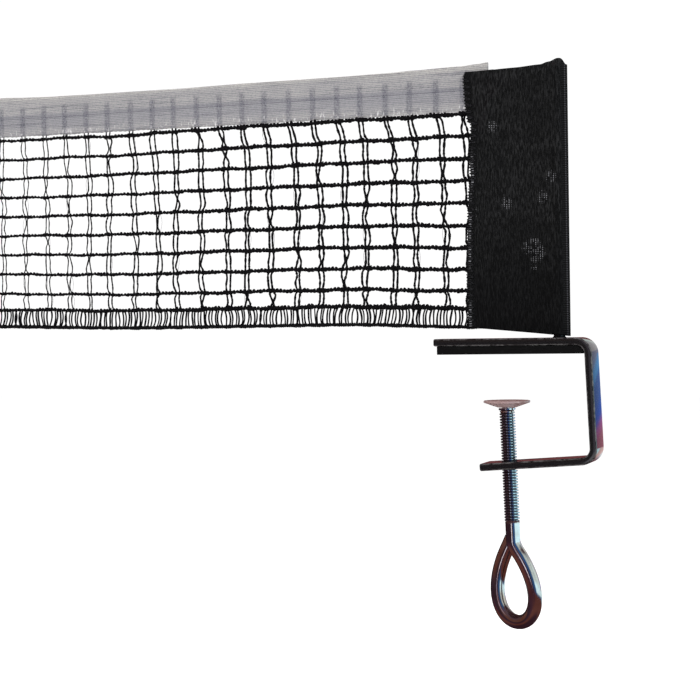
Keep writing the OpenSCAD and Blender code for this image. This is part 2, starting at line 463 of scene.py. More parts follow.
@dataclass(frozen=True)
class RibbedCloth:
    """Black narrow-loom cloth: upright ribs, a hemmed free edge and a seam beside the post.

    Attributes:
        post_x: The place of the post's axis; all lengths are in millimetres.
        fold_x: From there to the fold.
        rib: From one upright rib to the next, as weft, cross_rib, twill and ladder are.
        crossing: Where, past the axis, the upright ribs end and those across begin.
        twill_slope: How much the hem's ribs rise for each millimetre across.
        ladder_top: The height where the stitches of the open edge end, and are full.
        seam_in: From the fold to the seam.
        lit: The heights between which painted light makes the cloth grow paler.
        hole_pitch: From one hole to the next, across and up.
    """

    name: str
    post_x: float
    fold_x: float
    rib: float = 0.85
    weft: float = 0.55
    cross_rib: float = 0.95
    crossing: Point2 = (2.4, 3.6)
    twill: float = 2.1
    twill_slope: float = 2.2
    hem: float = 4.0
    ladder: float = 1.25
    ladder_top: Point2 = (112, 108)
    seam_in: float = 0.9
    lit: Point2 = (20, 95)
    hole_pitch: Point2 = (1.3, 0.95)
    weave_depth: float = 0.16
    dark: Colour = (0.0018, 0.0018, 0.0019)
    light: Colour = (0.0165, 0.0165, 0.0170)
    seam: Colour = (0.040, 0.040, 0.045)
    painted_light_through: Colour = (0.16, 0.16, 0.17)

    def make(self) -> bpy.types.Material:
        """Makes the finish.

        Returns:
            The material.
        """
        s = Shader(self.name)
        x, _, z = s.axes()
        out = x - self.post_x
        inset = s.attribute("inset")
        crossed = out.between(*self.crossing)
        hemmed = inset.between(self.hem + 0.3, self.hem - 0.3)
        plain = (1.0 - crossed) * (1.0 - hemmed)
        upright = (x + s.noise(6, 3) * 0.5).ribs(self.rib)
        across = z.ribs(self.cross_rib)
        twill = (inset * self.twill_slope + z).ribs(self.twill)
        streaks = self.streaks(s)
        # Painted light: the streaks and ribs are dimmed toward the bottom and full higher up.
        shade = (upright * 0.08 + streaks * 0.78) * (0.35 + z.between(*self.lit) * 0.65) * plain
        shade = shade + across * 0.5 * crossed + twill * 0.3 * hemmed
        colour = s.mix(shade, self.dark, self.light)
        # Painted highlight: the seam near the fold is painted paler than the cloth, in dashes along
        # the ribs.
        seam = abs(out - (self.fold_x - self.seam_in)).between(0.38, 0.15)
        colour = s.mix(seam * across.between(0.3, 0.9), colour, self.seam)
        # Painted light: the pinholes and the ladder along the open edge are painted pale, as light
        # showing through the cloth.
        colour = s.mix(self.worn_holes(s, x, z) * plain + self.open_edge(s, inset, z), colour,
                       self.painted_light_through)
        height = (upright * 0.5 + z.ribs(self.weft) * 0.3) * plain
        height = height + across * crossed + twill * 0.7 * hemmed
        return s.finish(
            Base_Color=colour,
            Roughness=0.82 - streaks * 0.12,
            Specular_IOR_Level=0.03,
            Normal=s.bump(height + s.noise(0.5, 2) * 0.3, self.weave_depth, 0.8))

    def streaks(self, s: Shader) -> Signal:
        """Lint and pale threads, drawn out upward, from 0 to 1.

        Args:
            s: The material that the nodes go into.

        Returns:
            How strong they are.
        """
        fine = s.noise(0.5, 1, at=s.stretched(1.0, 0.2, 0.13)).between(0.47, 0.62)
        tufts = s.noise(0.55, 2, at=s.stretched(1.0, 0.2, 0.3)).between(0.54, 0.68)
        bands = s.noise(9, 3, at=s.stretched(0.25, 0.2, 1.0)).between(0.35, 0.65)
        grain = s.noise(0.5, 1).between(0.35, 0.65)
        return fine * (0.35 + bands * 0.35) + tufts * 0.35 + grain * 0.15

    def worn_holes(self, s: Shader, x: Signal, z: Signal) -> Signal:
        """Pinholes where the cloth is worn thin.

        Args:
            s: The material that the nodes go into.
            x: The place across, in millimetres.
            z: The height, in millimetres.

        Returns:
            1 in a hole and 0 beside it.
        """
        pitch_x, pitch_z = self.hole_pitch
        grid = x.waves(pitch_x).between(0.2, 0.9) * z.waves(pitch_z).between(0.1, 0.8)
        return grid * s.noise(1.6, 2).between(0.42, 0.56) * s.attribute("worn").between(0.2, 0.5)

    def open_edge(self, s: Shader, inset: Signal, z: Signal) -> Signal:
        """The ladder of light along the free edge, below its top.

        Args:
            s: The material that the nodes go into.
            inset: The distance from the free edge, in millimetres.
            z: The height, in millimetres.

        Returns:
            1 where light shows through and 0 elsewhere.
        """
        strip = inset.between(0.35, 0.7) * inset.between(2.1, 1.6)
        strip = strip * z.between(*self.ladder_top) * s.noise(16, 1).between(0.42, 0.55)
        return z.waves(self.ladder).between(0.2, 0.8) * strip


@dataclass(frozen=True)
class TapeCloth:
    """Pale thin ribbon with fine lines along it; the strings behind it are painted as faint shade.

    Attributes:
        top: The height of the fold; all lengths are in millimetres.
        bottom: The height of the free edges.
        line: From one line along the ribbon to the next; stitch is the same across it.
        see_through: The alpha of its thinnest places.
        thread: The colour of its lines and stitches, and of the painted shade of the strings behind
            it.
    """

    name: str
    top: float
    bottom: float
    line: float = 0.98
    stitch: float = 0.85
    see_through: float = 0.70
    weave_depth: float = 0.10
    pale: Colour = (0.375, 0.36, 0.335)
    shaded_grey: Colour = (0.225, 0.22, 0.23)
    thread: Colour = (0.07, 0.07, 0.09)
    fray_highlight: Colour = (0.62, 0.60, 0.60)

    def make(self) -> bpy.types.Material:
        """Makes the finish.

        Returns:
            The material.
        """
        s = Shader(self.name)
        x, _, z = s.axes()
        up = (z - self.bottom) / (self.top - self.bottom)
        lines = (z + s.noise(40, 1) * 0.6).ribs(self.line)
        weave = x.ribs(self.stitch)
        blotch = s.noise(18, 4).between(0.3, 0.75)
        # Painted light and shade: the ribbon is palest at the fold, paler above the stitching and
        # toward the free edge, and shaded cooler grey just below the stitching; the blotches are
        # random.
        tone = (up.between(0.88, 1.0) * 0.45 + up.between(0.54, 0.64) * 0.38
                + up.between(0.38, 0.02) * 0.42 + blotch * 0.15)
        colour = s.mix(tone, self.shaded_grey, self.pale)
        streaks = s.noise(1.1, 2, at=s.stretched(0.03, 1.0, 1.0)).between(0.50, 0.68)
        speck = s.noise(0.55, 2, at=s.stretched(0.6, 1.0, 1.0)).between(0.42, 0.62)
        colour = s.mix((1.0 - lines) * 0.40 + streaks * 0.26 + speck * 0.24, colour, self.thread)
        # Painted shade: over each pair of strings behind it, the ribbon is painted darker, in bands
        # that fade upward.
        band = s.attribute("behind") * up.between(0.86, 0.70)
        grain = s.noise(0.9, 2, at=s.stretched(1.0, 1.0, 0.8)).between(0.4, 0.6)
        colour = s.mix(band * (0.26 + grain * 0.42), colour, self.thread)
        colour = self.stitched(s, up, weave, colour)
        return s.finish(
            Base_Color=colour,
            Roughness=0.75,
            Alpha=self.see_through + lines * 0.04 + blotch * 0.04,
            Normal=s.bump(lines * 0.7 + weave * 0.3, self.weave_depth, 0.6))

    def stitched(self, s: Shader, up: Signal, weave: Signal, colour: Signal) -> Signal:
        """Adds the two rows of stitches and the lower edge's fringe, painted paler as a highlight.

        Args:
            s: The material that the nodes go into.
            up: 0 at the free edge and 1 at the fold.
            weave: The threads across.
            colour: The ribbon's colour so far.

        Returns:
            The ribbon's colour.
        """
        seam = abs(up - 0.50).between(0.026, 0.010) * (0.45 + weave * 0.55)
        second = abs(up - 0.555).between(0.024, 0.008) * (0.2 + weave * 0.3)
        colour = s.mix(seam * 0.6 + second * 0.6, colour, self.thread)
        # Painted highlight: pale flecks near the free edge and its fringe are painted paler than
        # the ribbon.
        flecks = s.noise(1.1, 3, at=s.stretched(1.0, 1.0, 0.35)).between(0.58, 0.68)
        colour = s.mix(up.between(0.26, 0.05) * flecks * 0.7, colour, self.fray_highlight)
        fray = up.between(0.045, 0.01) * weave.between(0.35, 0.75)
        return s.mix(fray * 0.9, colour, self.fray_highlight)


@dataclass(frozen=True)
class CordYarn:
    """Spun yarn with loose fibres, their size and depth in millimetres."""

    name: str
    dark: Colour = (0.0015, 0.0015, 0.002)
    light: Colour = (0.007, 0.006, 0.007)
    fibre_size: float = 0.6
    fibre_depth: float = 0.15

    def make(self) -> bpy.types.Material:
        """Makes the finish.

        Returns:
            The material.
        """
        s = Shader(self.name)
        fibres = s.noise(self.fibre_size, 4, 0.6)
        return s.finish(
            Base_Color=s.mix(fibres.between(0.35, 0.8), self.dark, self.light),
            Roughness=0.88,
            Specular_IOR_Level=0.10,
            Normal=s.bump(fibres, self.fibre_depth, 0.7))


@dataclass(frozen=True)
class MattFloor:
    """Plain matt surface of the floor, faintly clouded."""

    name: str = "studio_floor"
    colour: Colour = (0.97, 0.97, 0.97)
    cloud: Colour = (0.94, 0.94, 0.95)

    def make(self) -> bpy.types.Material:
        """Makes the finish.

        Returns:
            The material.
        """
        s = Shader(self.name)
        tone = s.noise(400, 2) * 0.02
        return s.finish(Base_Color=s.mix(tone, self.colour, self.cloud), Roughness=0.9,
                        Specular_IOR_Level=0.0)


# --- Meshes ---


def piece(name: str, points: np.ndarray, faces: Sequence[Sequence[int]],
          material: bpy.types.Material, sharp: float = 40.0,
          marks: dict[str, np.ndarray] | None = None) -> bpy.types.Object:
    """Makes one mesh object.

    Args:
        name: The object's name.
        points: An (n, 3) array of its points, in metres.
        faces: The point numbers round each face.
        material: Its material.
        sharp: The angle, in degrees, past which an edge isn't smoothed.
        marks: Numbers per point, each by the name that a shader reads.

    Returns:
        The object.
    """
    mesh = bpy.data.meshes.new(name)
    mesh.from_pydata(points.tolist(), [], [list(f) for f in faces])
    mesh.validate()
    mesh.polygons.foreach_set("use_smooth", [True] * len(mesh.polygons))
    mesh.set_sharp_from_angle(angle=math.radians(sharp))
    for mark, numbers in (marks or {}).items():
        mesh.attributes.new(mark, "FLOAT", "POINT").data.foreach_set("value", numbers.ravel())
    mesh.materials.append(material)
    made = bpy.data.objects.new(name, mesh)
    bpy.context.scene.collection.objects.link(made)
    return made


def tube_faces(rings: int, sides: int, first: int = 0, capped: bool = True,
               looped: bool = False) -> list[list[int]]:
    """Faces of a tube whose rings follow each other in the list of points.

    Args:
        rings: How many rings it has.
        sides: How many points each ring has.
        first: The number of its first point.
        capped: Whether a flat face closes each end.
        looped: Whether the last ring joins the first.

    Returns:
        The faces, turned outward for rings that run clockwise about their heading.
    """
    faces = []
    for i in range(rings if looped else rings - 1):
        a, b = first + i * sides, first + (i + 1) % rings * sides
        faces += [[a + k, b + k, b + (k + 1) % sides, a + (k + 1) % sides] for k in range(sides)]
    if capped and not looped:
        last = first + (rings - 1) * sides
        faces.append([first + k for k in range(sides)])
        faces.append([last + k for k in reversed(range(sides))])
    return faces


def headings(path: np.ndarray) -> np.ndarray:
    """The unit direction of a path at each of its points."""
    steps = np.gradient(path, axis=0)
    return steps / np.linalg.norm(steps, axis=1)[:, None]


def swept_points(path: np.ndarray, outline: np.ndarray, side: Vector) -> np.ndarray:
    """Rings of an outline carried along a path.

    Args:
        path: (n, 3) points.
        outline: (k, 2) points for every ring, or (n, k, 2) with one outline for each.
        side: A direction that the path never takes; outlines measure their second number along it.

    Returns:
        (n, k, 3) points.
    """
    run = headings(path)
    across = np.cross(np.array(side), run)
    across /= np.linalg.norm(across, axis=1)[:, None]
    other = np.cross(run, across)
    if outline.ndim == 2:
        outline = np.broadcast_to(outline, (len(path), *outline.shape))
    return (path[:, None, :] + outline[:, :, :1] * across[:, None, :]
            + outline[:, :, 1:] * other[:, None, :])


def rounded_rectangle(width: float, height: float, radius: float, steps: int) -> np.ndarray:
    """Points round a rectangle with rounded corners, centred on zero.

    Args:
        width: Its size along the first number.
        height: Its size along the second.
        radius: The radius of its corners.
        steps: How many stretches each corner has.

    Returns:
        (k, 2) points.
    """
    turns = np.radians([90 * (q + k / steps) for q in range(4) for k in range(steps + 1)])
    signs = np.repeat([(1, 1), (-1, 1), (-1, -1), (1, -1)], steps + 1, axis=0)
    half = np.array([width / 2 - radius, height / 2 - radius])
    return signs * half + radius * np.stack([np.cos(turns), np.sin(turns)], axis=1)


def circle(radius: float, sides: int) -> np.ndarray:
    """Points round a circle, centred on zero."""
    turns = np.arange(sides) * TURN / sides
    return radius * np.stack([np.cos(turns), np.sin(turns)], axis=1)


def curve_through(knots: np.ndarray, steps: int) -> np.ndarray:
    """A smooth line through points.

    Args:
        knots: (n, 3) points.
        steps: How many stretches lie between one and the next.

    Returns:
        (k, 3) points.
    """
    padded = np.vstack([2 * knots[0] - knots[1], knots, 2 * knots[-1] - knots[-2]])
    t = (np.arange(steps) / steps)[:, None]
    out = []
    for a, b, c, d in zip(padded, padded[1:], padded[2:], padded[3:]):
        out.append(0.5 * (2 * b + (c - a) * t + (2 * a - 5 * b + 4 * c - d) * t ** 2
                          + (3 * b - a - 3 * c + d) * t ** 3))
    return np.vstack([*out, knots[-1:]])


def lathe(name: str, outline: Sequence[Point2], to_row: Matrix, material: bpy.types.Material,
          sides: int = 96, sharp: float = 30.0, hollow: bool = False,
          ripple: Callable[[float, float], float] | None = None) -> bpy.types.Object:
    """Turns an outline about an axis.

    Args:
        name: The object's name.
        outline: (radius, height) points in millimetres, from the lower end to the upper.
        to_row: Where the axis stands in the row frame.
        material: Its material.
        sides: How many points each ring has.
        sharp: The angle past which an edge isn't smoothed.
        hollow: Whether the outline closes on itself, as a ring's does.
        ripple: A change of radius, from the angle and the height.

    Returns:
        The object.
    """
    points = []
    for radius, height in outline:
        for k in range(sides):
            turn = TURN * k / sides
            r = max(radius + (ripple(turn, height) if ripple else 0.0), 0.0)
            points.append(to_row @ mm(r * math.cos(turn), r * math.sin(turn), height))
    faces = [face[::-1] for face in tube_faces(len(outline), sides, capped=not hollow,
                                               looped=hollow)]
    return piece(name, np.array(points), faces, material, sharp)


def rounded_corner(centre: Point2, radius: float, start: float, end: float,
                   steps: int = 5) -> list[Point2]:
    """Points of an arc from one angle to another, in degrees."""
    turns = [math.radians(lerp(start, end, k / steps)) for k in range(steps + 1)]
    return [(centre[0] + radius * math.cos(t), centre[1] + radius * math.sin(t)) for t in turns]


class Strands:
    """Collects many thin tubes into one mesh."""

    def __init__(self, sides: int) -> None:
        """Starts empty.

        Args:
            sides: How many points each ring has.
        """
        self.sides = sides
        self.points: list[np.ndarray] = []
        self.faces: list[list[int]] = []
        self.count = 0

    def add(self, path: np.ndarray, outline: np.ndarray, side: Vector) -> None:
        """Adds one tube.

        Args:
            path: Its centre line, in metres.
            outline: Its outline, or one for each point of the path.
            side: A direction that the path never takes.
        """
        rings = swept_points(path, outline, side)
        self.points.append(rings.reshape(-1, 3))
        self.faces += tube_faces(len(path), self.sides, self.count)
        self.count += len(path) * self.sides

    def rope(self, path: np.ndarray, radius: float | np.ndarray, lay: float, lobes: float,
             side: Vector, start: float = 0.0) -> None:
        """Adds a tube with the two bulges of a pair of twisted yarns.

        Args:
            path: Its centre line, in metres.
            radius: Its mean radius, in metres, or one for each point of the path.
            lay: The length of one whole twist, in metres.
            lobes: How far the bulges stand out, as a share of the radius.
            side: A direction that the path never takes.
            start: The twist at its first point, in radians.
        """
        gone = np.concatenate([[0], np.cumsum(np.linalg.norm(np.diff(path, axis=0), axis=1))])
        turn = start + TURN * gone / lay
        around = np.arange(self.sides) * TURN / self.sides
        r = (np.reshape(radius, (-1, 1))
             * (1 + lobes * np.cos(2 * (around[None, :] - turn[:, None]))))
        self.add(path, np.stack([r * np.cos(around), r * np.sin(around)], axis=2), side)

    def build(self, name: str, material: bpy.types.Material) -> bpy.types.Object:
        """The mesh of all the tubes."""
        return piece(name, np.vstack(self.points), self.faces, material, 180)


def baked(thing: bpy.types.Object) -> None:
    """Replaces an object's mesh with what its modifiers make of it.

    Args:
        thing: The object, which then has no modifiers.
    """
    bpy.context.view_layer.update()
    shown = thing.evaluated_get(bpy.context.evaluated_depsgraph_get())
    mesh = bpy.data.meshes.new_from_object(shown)
    thing.modifiers.clear()
    old, thing.data = thing.data, mesh
    mesh.name = old.name
    bpy.data.meshes.remove(old)


def thickened(thing: bpy.types.Object, thickness: float) -> None:
    """Gives a sheet its thickness, half to each side.

    Args:
        thing: The sheet.
        thickness: Its thickness, in millimetres.
    """
    solid = thing.modifiers.new("cloth", "SOLIDIFY")
    solid.thickness, solid.offset = thickness * MILLI, 0.0
    baked(thing)


# --- Camera and light ---


@dataclass
class Room:
    """What gloss and metal reflect: a dim warm room, a window on the right, a glow behind.

    A direction is told by how far it points ahead and right, as the camera sees them, and up.
    Whatever isn't a reflection sees plain white.

    Attributes:
        yaw: How far the camera is turned to the left, in degrees.
        left_high: The wall on the left; left_level and left_low lie below it.
        low: The room's foot; deep is what lies steeply above and below.
        outline: What lies ahead, which darkens the sides of round things.
        window: The window; window_foot is its lower part and window_rim its bars and frame.
        window_bars: How close the bars stand, in radians for one unit to the right.
        sky_behind: The glow behind; other bands of it lie above and below.
        strip_light: The long lamp on the camera's side, in its strip_haze.
    """

    yaw: float
    white: Colour = (1.04, 1.04, 1.04)
    ceiling: Colour = (0.13, 0.08, 0.095)
    left_high: Colour = (0.16, 0.068, 0.05)
    left_level: Colour = (0.045, 0.024, 0.036)
    left_low: Colour = (0.075, 0.030, 0.045)
    low: Colour = (0.155, 0.056, 0.044)
    deep: Colour = (0.05, 0.022, 0.032)
    outline: Colour = (0.028, 0.014, 0.02)
    window: Colour = (0.95, 1.12, 1.04)
    window_foot: Colour = (1.10, 1.60, 1.72)
    window_rim: Colour = (0.04, 0.12, 0.30)
    window_bars: float = 38.0
    wall_behind: Colour = (0.19, 0.06, 0.062)
    sky_behind: Colour = (0.13, 0.235, 0.62)
    sky_deep: Colour = (0.085, 0.20, 0.80)
    sky_teal: Colour = (0.18, 0.52, 1.02)
    sky_grey: Colour = (0.34, 0.37, 0.52)
    haze_behind: Colour = (0.66, 0.64, 0.66)
    dusk_behind: Colour = (0.62, 0.18, 0.46)
    ember_behind: Colour = (0.55, 0.20, 0.27)
    salmon_behind: Colour = (1.12, 0.76, 0.72)
    strip_light: Colour = (1.8, 1.75, 1.9)
    strip_haze: Colour = (0.54, 0.48, 0.62)

    def __post_init__(self) -> None:
        """Makes an empty world and tells its directions apart."""
        world = bpy.data.worlds.new("surroundings")
        world.use_nodes = True
        bpy.context.scene.world = world
        self.nodes = Nodes(world.node_tree)
        place = self.nodes.node("ShaderNodeTexCoord", output="Generated")
        x, y, self.up = self.nodes.split(place)
        turn = math.radians(self.yaw)
        self.ahead = y * math.cos(turn) - x * math.sin(turn)
        self.right = x * math.cos(turn) + y * math.sin(turn)

    def build(self) -> None:
        """Fills the world."""
        nodes = self.nodes
        room = self.with_strip(self.with_glow(self.walls()))
        glossy = nodes.node("ShaderNodeLightPath", output="Is Glossy Ray")
        background = nodes.node("ShaderNodeBackground",
                                inputs={"Color": nodes.mix(glossy, self.white, room)})
        output = nodes.tree.nodes.new("ShaderNodeOutputWorld")
        nodes.tree.links.new(background.socket, output.inputs["Surface"])

    def pane(self) -> Signal:
        """The window with its bars and frame, and the wall below it.

        Returns:
            The colours.
        """
        mix, right, up = self.nodes.mix, self.right, self.up
        bars = (right * self.window_bars).sine().between(0.2, 0.9)
        pane = mix(up.between(0.10, -0.02), self.window, self.window_foot)
        pane = mix(bars * up.between(0.03, 0.15) * 0.6, pane, self.window_rim)
        pane = mix(right.between(0.54, 0.36) * self.ahead.between(0.0, -0.2), pane,
                   self.window_rim)
        return self.nodes.layered(up, pane, ((-0.15, -0.19, self.window_rim),
                                             (-0.20, -0.24, self.low)))

    def walls(self) -> Signal:
        """The room with its window.

        Returns:
            The colours.
        """
        mix, ahead, right, up = self.nodes.mix, self.ahead, self.right, self.up
        left = self.nodes.layered(up, self.left_level, ((-0.04, 0.10, self.left_high),
                                                        (-0.16, -0.24, self.left_low)))
        room = mix(right.between(-0.16, 0.0), left, self.pane())
        room = mix(up.between(-0.28, -0.45), room, self.low)
        room = mix(abs(up).between(0.55, 0.8), room, self.deep)
        room = mix(up.between(0.45, 0.55) * up.between(0.85, 0.75), room, self.ceiling)
        beside = right.between(0.0, 0.15) * abs(up - 0.1).between(0.4, 0.3)
        room = mix(ahead.between(0.5, 0.85) * (1.0 - beside), room, self.outline)
        wall = ahead.between(0.80, 0.92) * right.between(-0.02, 0.04) * right.between(0.3, 0.2)
        return mix(wall, room, self.wall_behind)

    def with_glow(self, room: Signal) -> Signal:
        """Adds the glow behind, in level bands.

        Args:
            room: The colours so far.

        Returns:
            The colours with it.
        """
        mix, right, up = self.nodes.mix, self.right, self.up
        foot = mix(right.between(0.50, 0.54), self.salmon_behind, self.window_foot)
        sky = self.nodes.layered(up, self.sky_behind, (
            (-0.026, -0.036, self.sky_deep),
            (-0.013, -0.009, self.sky_teal),
            (-0.004, 0.004, self.sky_grey),
            (0.03, 0.08, self.haze_behind),
            (-0.041, -0.046, self.dusk_behind),
            (-0.048, -0.054, self.ember_behind),
            (-0.068, -0.085, foot)))
        glow = (self.ahead * 0.78 + right * 0.62).between(0.88, 0.95)
        above = up.between(0.01, 0.02)
        shown = (1.0 - above + above * right.between(0.115, 0.16)) * up.between(-0.28, -0.22)
        return mix(glow * shown, room, sky)

    def with_strip(self, room: Signal) -> Signal:
        """Adds the long lamp on the camera's side.

        Args:
            room: The colours so far.

        Returns:
            The colours with it.
        """
        mix, ahead, up = self.nodes.mix, self.ahead, self.up
        strip = abs(self.right * 0.91 - ahead * 0.42).between(0.09, 0.05)
        strip = strip * ahead.between(-0.2, -0.5)
        haze = strip * up.between(-0.26, -0.20) * up.between(0.42, 0.22)
        room = mix(haze, room, self.strip_haze)
        return mix(strip * abs(up + 0.15).between(0.065, 0.035), room, self.strip_light)


@dataclass(frozen=True)
class Lamp:
    """One soft box, unseen in reflections; places and sizes are in millimetres."""

    name: str
    place: Point3
    aim: Point3
    size: Point2
    watts: float
    colour: Colour = (1, 1, 1)

    def build(self) -> None:
        """Adds it to the scene."""
        data = bpy.data.lights.new(self.name, "AREA")
        data.shape = "RECTANGLE"
        data.size, data.size_y = self.size[0] * MILLI, self.size[1] * MILLI
        data.energy = self.watts
        data.color = self.colour
        lamp = bpy.data.objects.new(self.name, data)
        lamp.visible_glossy = False
        lamp.location = mm(*self.place)
        lamp.rotation_euler = (mm(*self.aim) - mm(*self.place)).to_track_quat("-Z", "Y").to_euler()
        bpy.context.scene.collection.objects.link(lamp)


@dataclass
class Stage:
    """Camera, floor and studio light, in millimetres and degrees.

    Attributes:
        eye: The camera's place.
        yaw: How far it is turned to the left; pitch is how far it looks down, and roll how far
            it leans to the left.
        focal_px: Its focal length, in picture points, of which the picture is frame_px wide.
        clip: The nearest and the farthest that it sees, in metres.
        floor_half: Half the floor's width.
    """

    eye: Point3 = (213.85, -863.3, 14.0)
    yaw: float = 19.27
    pitch: float = 0.689
    roll: float = -0.848
    focal_px: float = 1646.0
    frame_px: float = 700.0
    sensor: float = 36.0
    clip: Point2 = (0.01, 60)
    floor_z: float = -400.0
    floor_half: float = 9000.0
    lamps: tuple[Lamp, ...] = (
        Lamp("key", (-500, -1400, 1300), (0, 0, 0), (1200, 900), 38),
        Lamp("top", (0, 300, 1700), (0, 0, 0), (1600, 1200), 30),
        Lamp("side", (1200, -150, 350), (50, 0, -20), (320, 700), 9, (0.80, 0.88, 1.0)))

    def camera(self) -> None:
        """Sets the scene's camera."""
        data = bpy.data.cameras.new("camera")
        data.sensor_width = self.sensor
        data.lens = self.focal_px / self.frame_px * self.sensor
        data.clip_start, data.clip_end = self.clip
        yaw, pitch, roll = (math.radians(a) for a in (self.yaw, self.pitch, self.roll))
        ahead = Vector((-math.sin(yaw) * math.cos(pitch), math.cos(yaw) * math.cos(pitch),
                        -math.sin(pitch)))
        level = ahead.cross(Vector((0, 0, 1))).normalized()
        upright = level.cross(ahead)
        right = math.cos(roll) * level + math.sin(roll) * upright
        up = -math.sin(roll) * level + math.cos(roll) * upright
        camera = bpy.data.objects.new("camera", data)
        turned = Matrix((right, up, -ahead)).transposed().to_4x4()
        camera.matrix_world = Matrix.Translation(mm(*self.eye)) @ turned
        bpy.context.scene.collection.objects.link(camera)
        bpy.context.scene.camera = camera

    def floor(self) -> None:
        """Lays the pale floor."""
        h, z = self.floor_half, self.floor_z
        corners = np.array([(-h, -h, z), (h, -h, z), (h, h, z), (-h, h, z)]) * MILLI
        floor = piece("floor", corners, [[0, 1, 2, 3]], MattFloor().make())
        floor.visible_glossy = False

    def build(self) -> None:
        """Sets the camera first, then the floor, the surroundings and the lamps."""
        self.camera()
        self.floor()
        Room(self.yaw).build()
        bpy.context.scene.view_settings.view_transform = "Standard"
        for lamp in self.lamps:
            lamp.build()


# --- Clamp ---


@dataclass
class Bracket:
    """Bent flat bar with its pad, and the post with its weld; in millimetres and degrees.

    Attributes:
        throat: From the screw's axis to the spine's outer face, at the jaw face.
        jaw_height: From the jaw face down to the lower arm.
        spine_lean: How far the spine leans outward going down.
        arm_droop: How far the lower arm drops toward its tip.
        pad_setback: From the upper arm's tip to the pad; pad_inset is the same at its sides
            and pad_gap at the spine.
        bend_gap: How much less round than the bend the pad's inner end is.
        pad_soft: The bevel of the pad's edges that turn by more than pad_sharp.
        weld_bite: How deep the bead is sunk into the post and the bar.
        ripple_sway: How unevenly the bead's ripples stand.
        weld_thin: How much the bead is thinned for them.
        sink: The depth of the tapped hole's countersinks.
    """

    bar_w: float = 20.0
    bar_t: float = 4.0
    edge_r: float = 0.8
    bend_r: float = 4.8
    throat: float = 49.2
    upper_arm_len: float = 86.2
    lower_arm_len: float = 64.0
    jaw_height: float = 57.6
    spine_lean: float = 2.5
    arm_droop: float = 4.0
    pad_t: float = 4.5
    pad_setback: float = 1.9
    pad_inset: float = 0.4
    pad_gap: float = 0.4
    bend_gap: float = 0.2
    pad_soft: float = 0.45
    pad_sharp: float = 50.0
    post_x: float = POST_X
    post_d: float = 6.0
    post_h: float = 155.0
    weld_size: float = 1.25
    weld_bite: float = 0.1
    ripples: int = 17
    ripple_h: float = 0.10
    ripple_sway: float = 3.0
    weld_thin: float = 0.08
    hole_r: float = 4.22
    sink: float = 0.5
    screw_lean: float = SCREW_LEAN
    end_round: float = 0.9
    paint: bpy.types.Material = field(default_factory=lambda: GlossPaint().make())

    def corners(self) -> tuple[Vector, Vector, Vector, Vector]:
        """Where the straight stretches of the bar's centre line end and meet.

        Returns:
            The upper tip, the upper and the lower corner and the lower tip, as (x, z).
        """
        lean, droop = math.radians(self.spine_lean), math.radians(self.arm_droop)
        mid_z = self.pad_t + self.bar_t / 2
        spine = self.throat - self.bar_t / 2
        arm = -self.jaw_height - self.bar_t / 2 / math.cos(droop)
        axis_x = self.jaw_height * math.tan(math.radians(self.screw_lean))
        low = ((arm + (spine - axis_x) * math.tan(droop))
               / (1 + math.tan(lean) * math.tan(droop)))
        upper = Vector((spine - mid_z * math.tan(lean), mid_z))
        lower = Vector((spine - low * math.tan(lean), low))
        tip = lower - (self.lower_arm_len - self.bar_t / 2) * Vector((math.cos(droop),
                                                                      math.sin(droop)))
        return Vector((self.throat - self.upper_arm_len, mid_z)), upper, lower, tip

    def bend(self, corner: Vector, start: float, turn: float, steps: int = 28) -> list[Vector]:
        """Points of a bend of the centre line.

        Args:
            corner: Where its two straight stretches would meet, as (x, z).
            start: The heading before it, in degrees.
            turn: How far it turns clockwise, in degrees.
            steps: How many stretches it has.

        Returns:
            The points, as (x, z).
        """
        r = self.bend_r + self.bar_t / 2
        a = math.radians(start)
        first = corner - r * math.tan(math.radians(turn / 2)) * Vector((math.cos(a), math.sin(a)))
        centre = first + r * Vector((math.sin(a), -math.cos(a)))
        turns = [math.radians(90 + start - turn * k / steps) for k in range(steps + 1)]
        return [centre + r * Vector((math.cos(t), math.sin(t))) for t in turns]

    def build_bar(self) -> bpy.types.Object:
        """The bar, with rounded edges, softened ends and the tapped hole.

        Returns:
            The object.
        """
        tip, upper, lower, end = self.corners()
        line = [tip, *self.bend(upper, 0, 90 - self.spine_lean),
                *self.bend(lower, self.spine_lean - 90, 90 + self.spine_lean - self.arm_droop), end]
        outline = rounded_rectangle(self.bar_t, self.bar_w, self.edge_r, 6)
        rings = [*self.softened_end(outline, line[0], line[1]),
                 *[(p, outline) for p in line[1:-1]],
                 *reversed(self.softened_end(outline, line[-1], line[-2]))]
        path = np.array([(x, 0, z) for (x, z), _ in rings]) * MILLI
        outlines = np.array([shape for _, shape in rings]) * MILLI
        points = swept_points(path, outlines, Y_AXIS)
        sides = len(outline)
        per_corner = sides // 4
        edge = np.tile([1.0 if 0 < k % per_corner < per_corner - 1 else 0.0
                        for k in range(sides)], len(path))
        bar = piece("bent_bar", points.reshape(-1, 3), tube_faces(len(path), sides), self.paint,
                    30, {"edge": edge})
        self.cut_hole(bar)
        return bar

    def softened_end(self, outline: np.ndarray, place: Vector, toward: Vector,
                     steps: int = 4) -> list[tuple[Vector, np.ndarray]]:
        """Places and outlines that round off a cut end of the bar, from the outside in.

        Args:
            outline: The bar's outline.
            place: The end of its centre line, as (x, z).
            toward: The next point of the centre line.
            steps: How many stretches the rounding has.

        Returns:
            A place and an outline for each ring.
        """
        run = (toward - place).normalized()
        rings = []
        for k in range(steps + 1):
            turn = math.radians(90 * k / steps)
            inset = self.end_round * (1 - math.sin(turn))
            depth = self.end_round * (1 - math.cos(turn))
            shrunk = outline * np.array([1 - 2 * inset / self.bar_t, 1 - 2 * inset / self.bar_w])
            rings.append((place + run * depth, shrunk))
        return rings

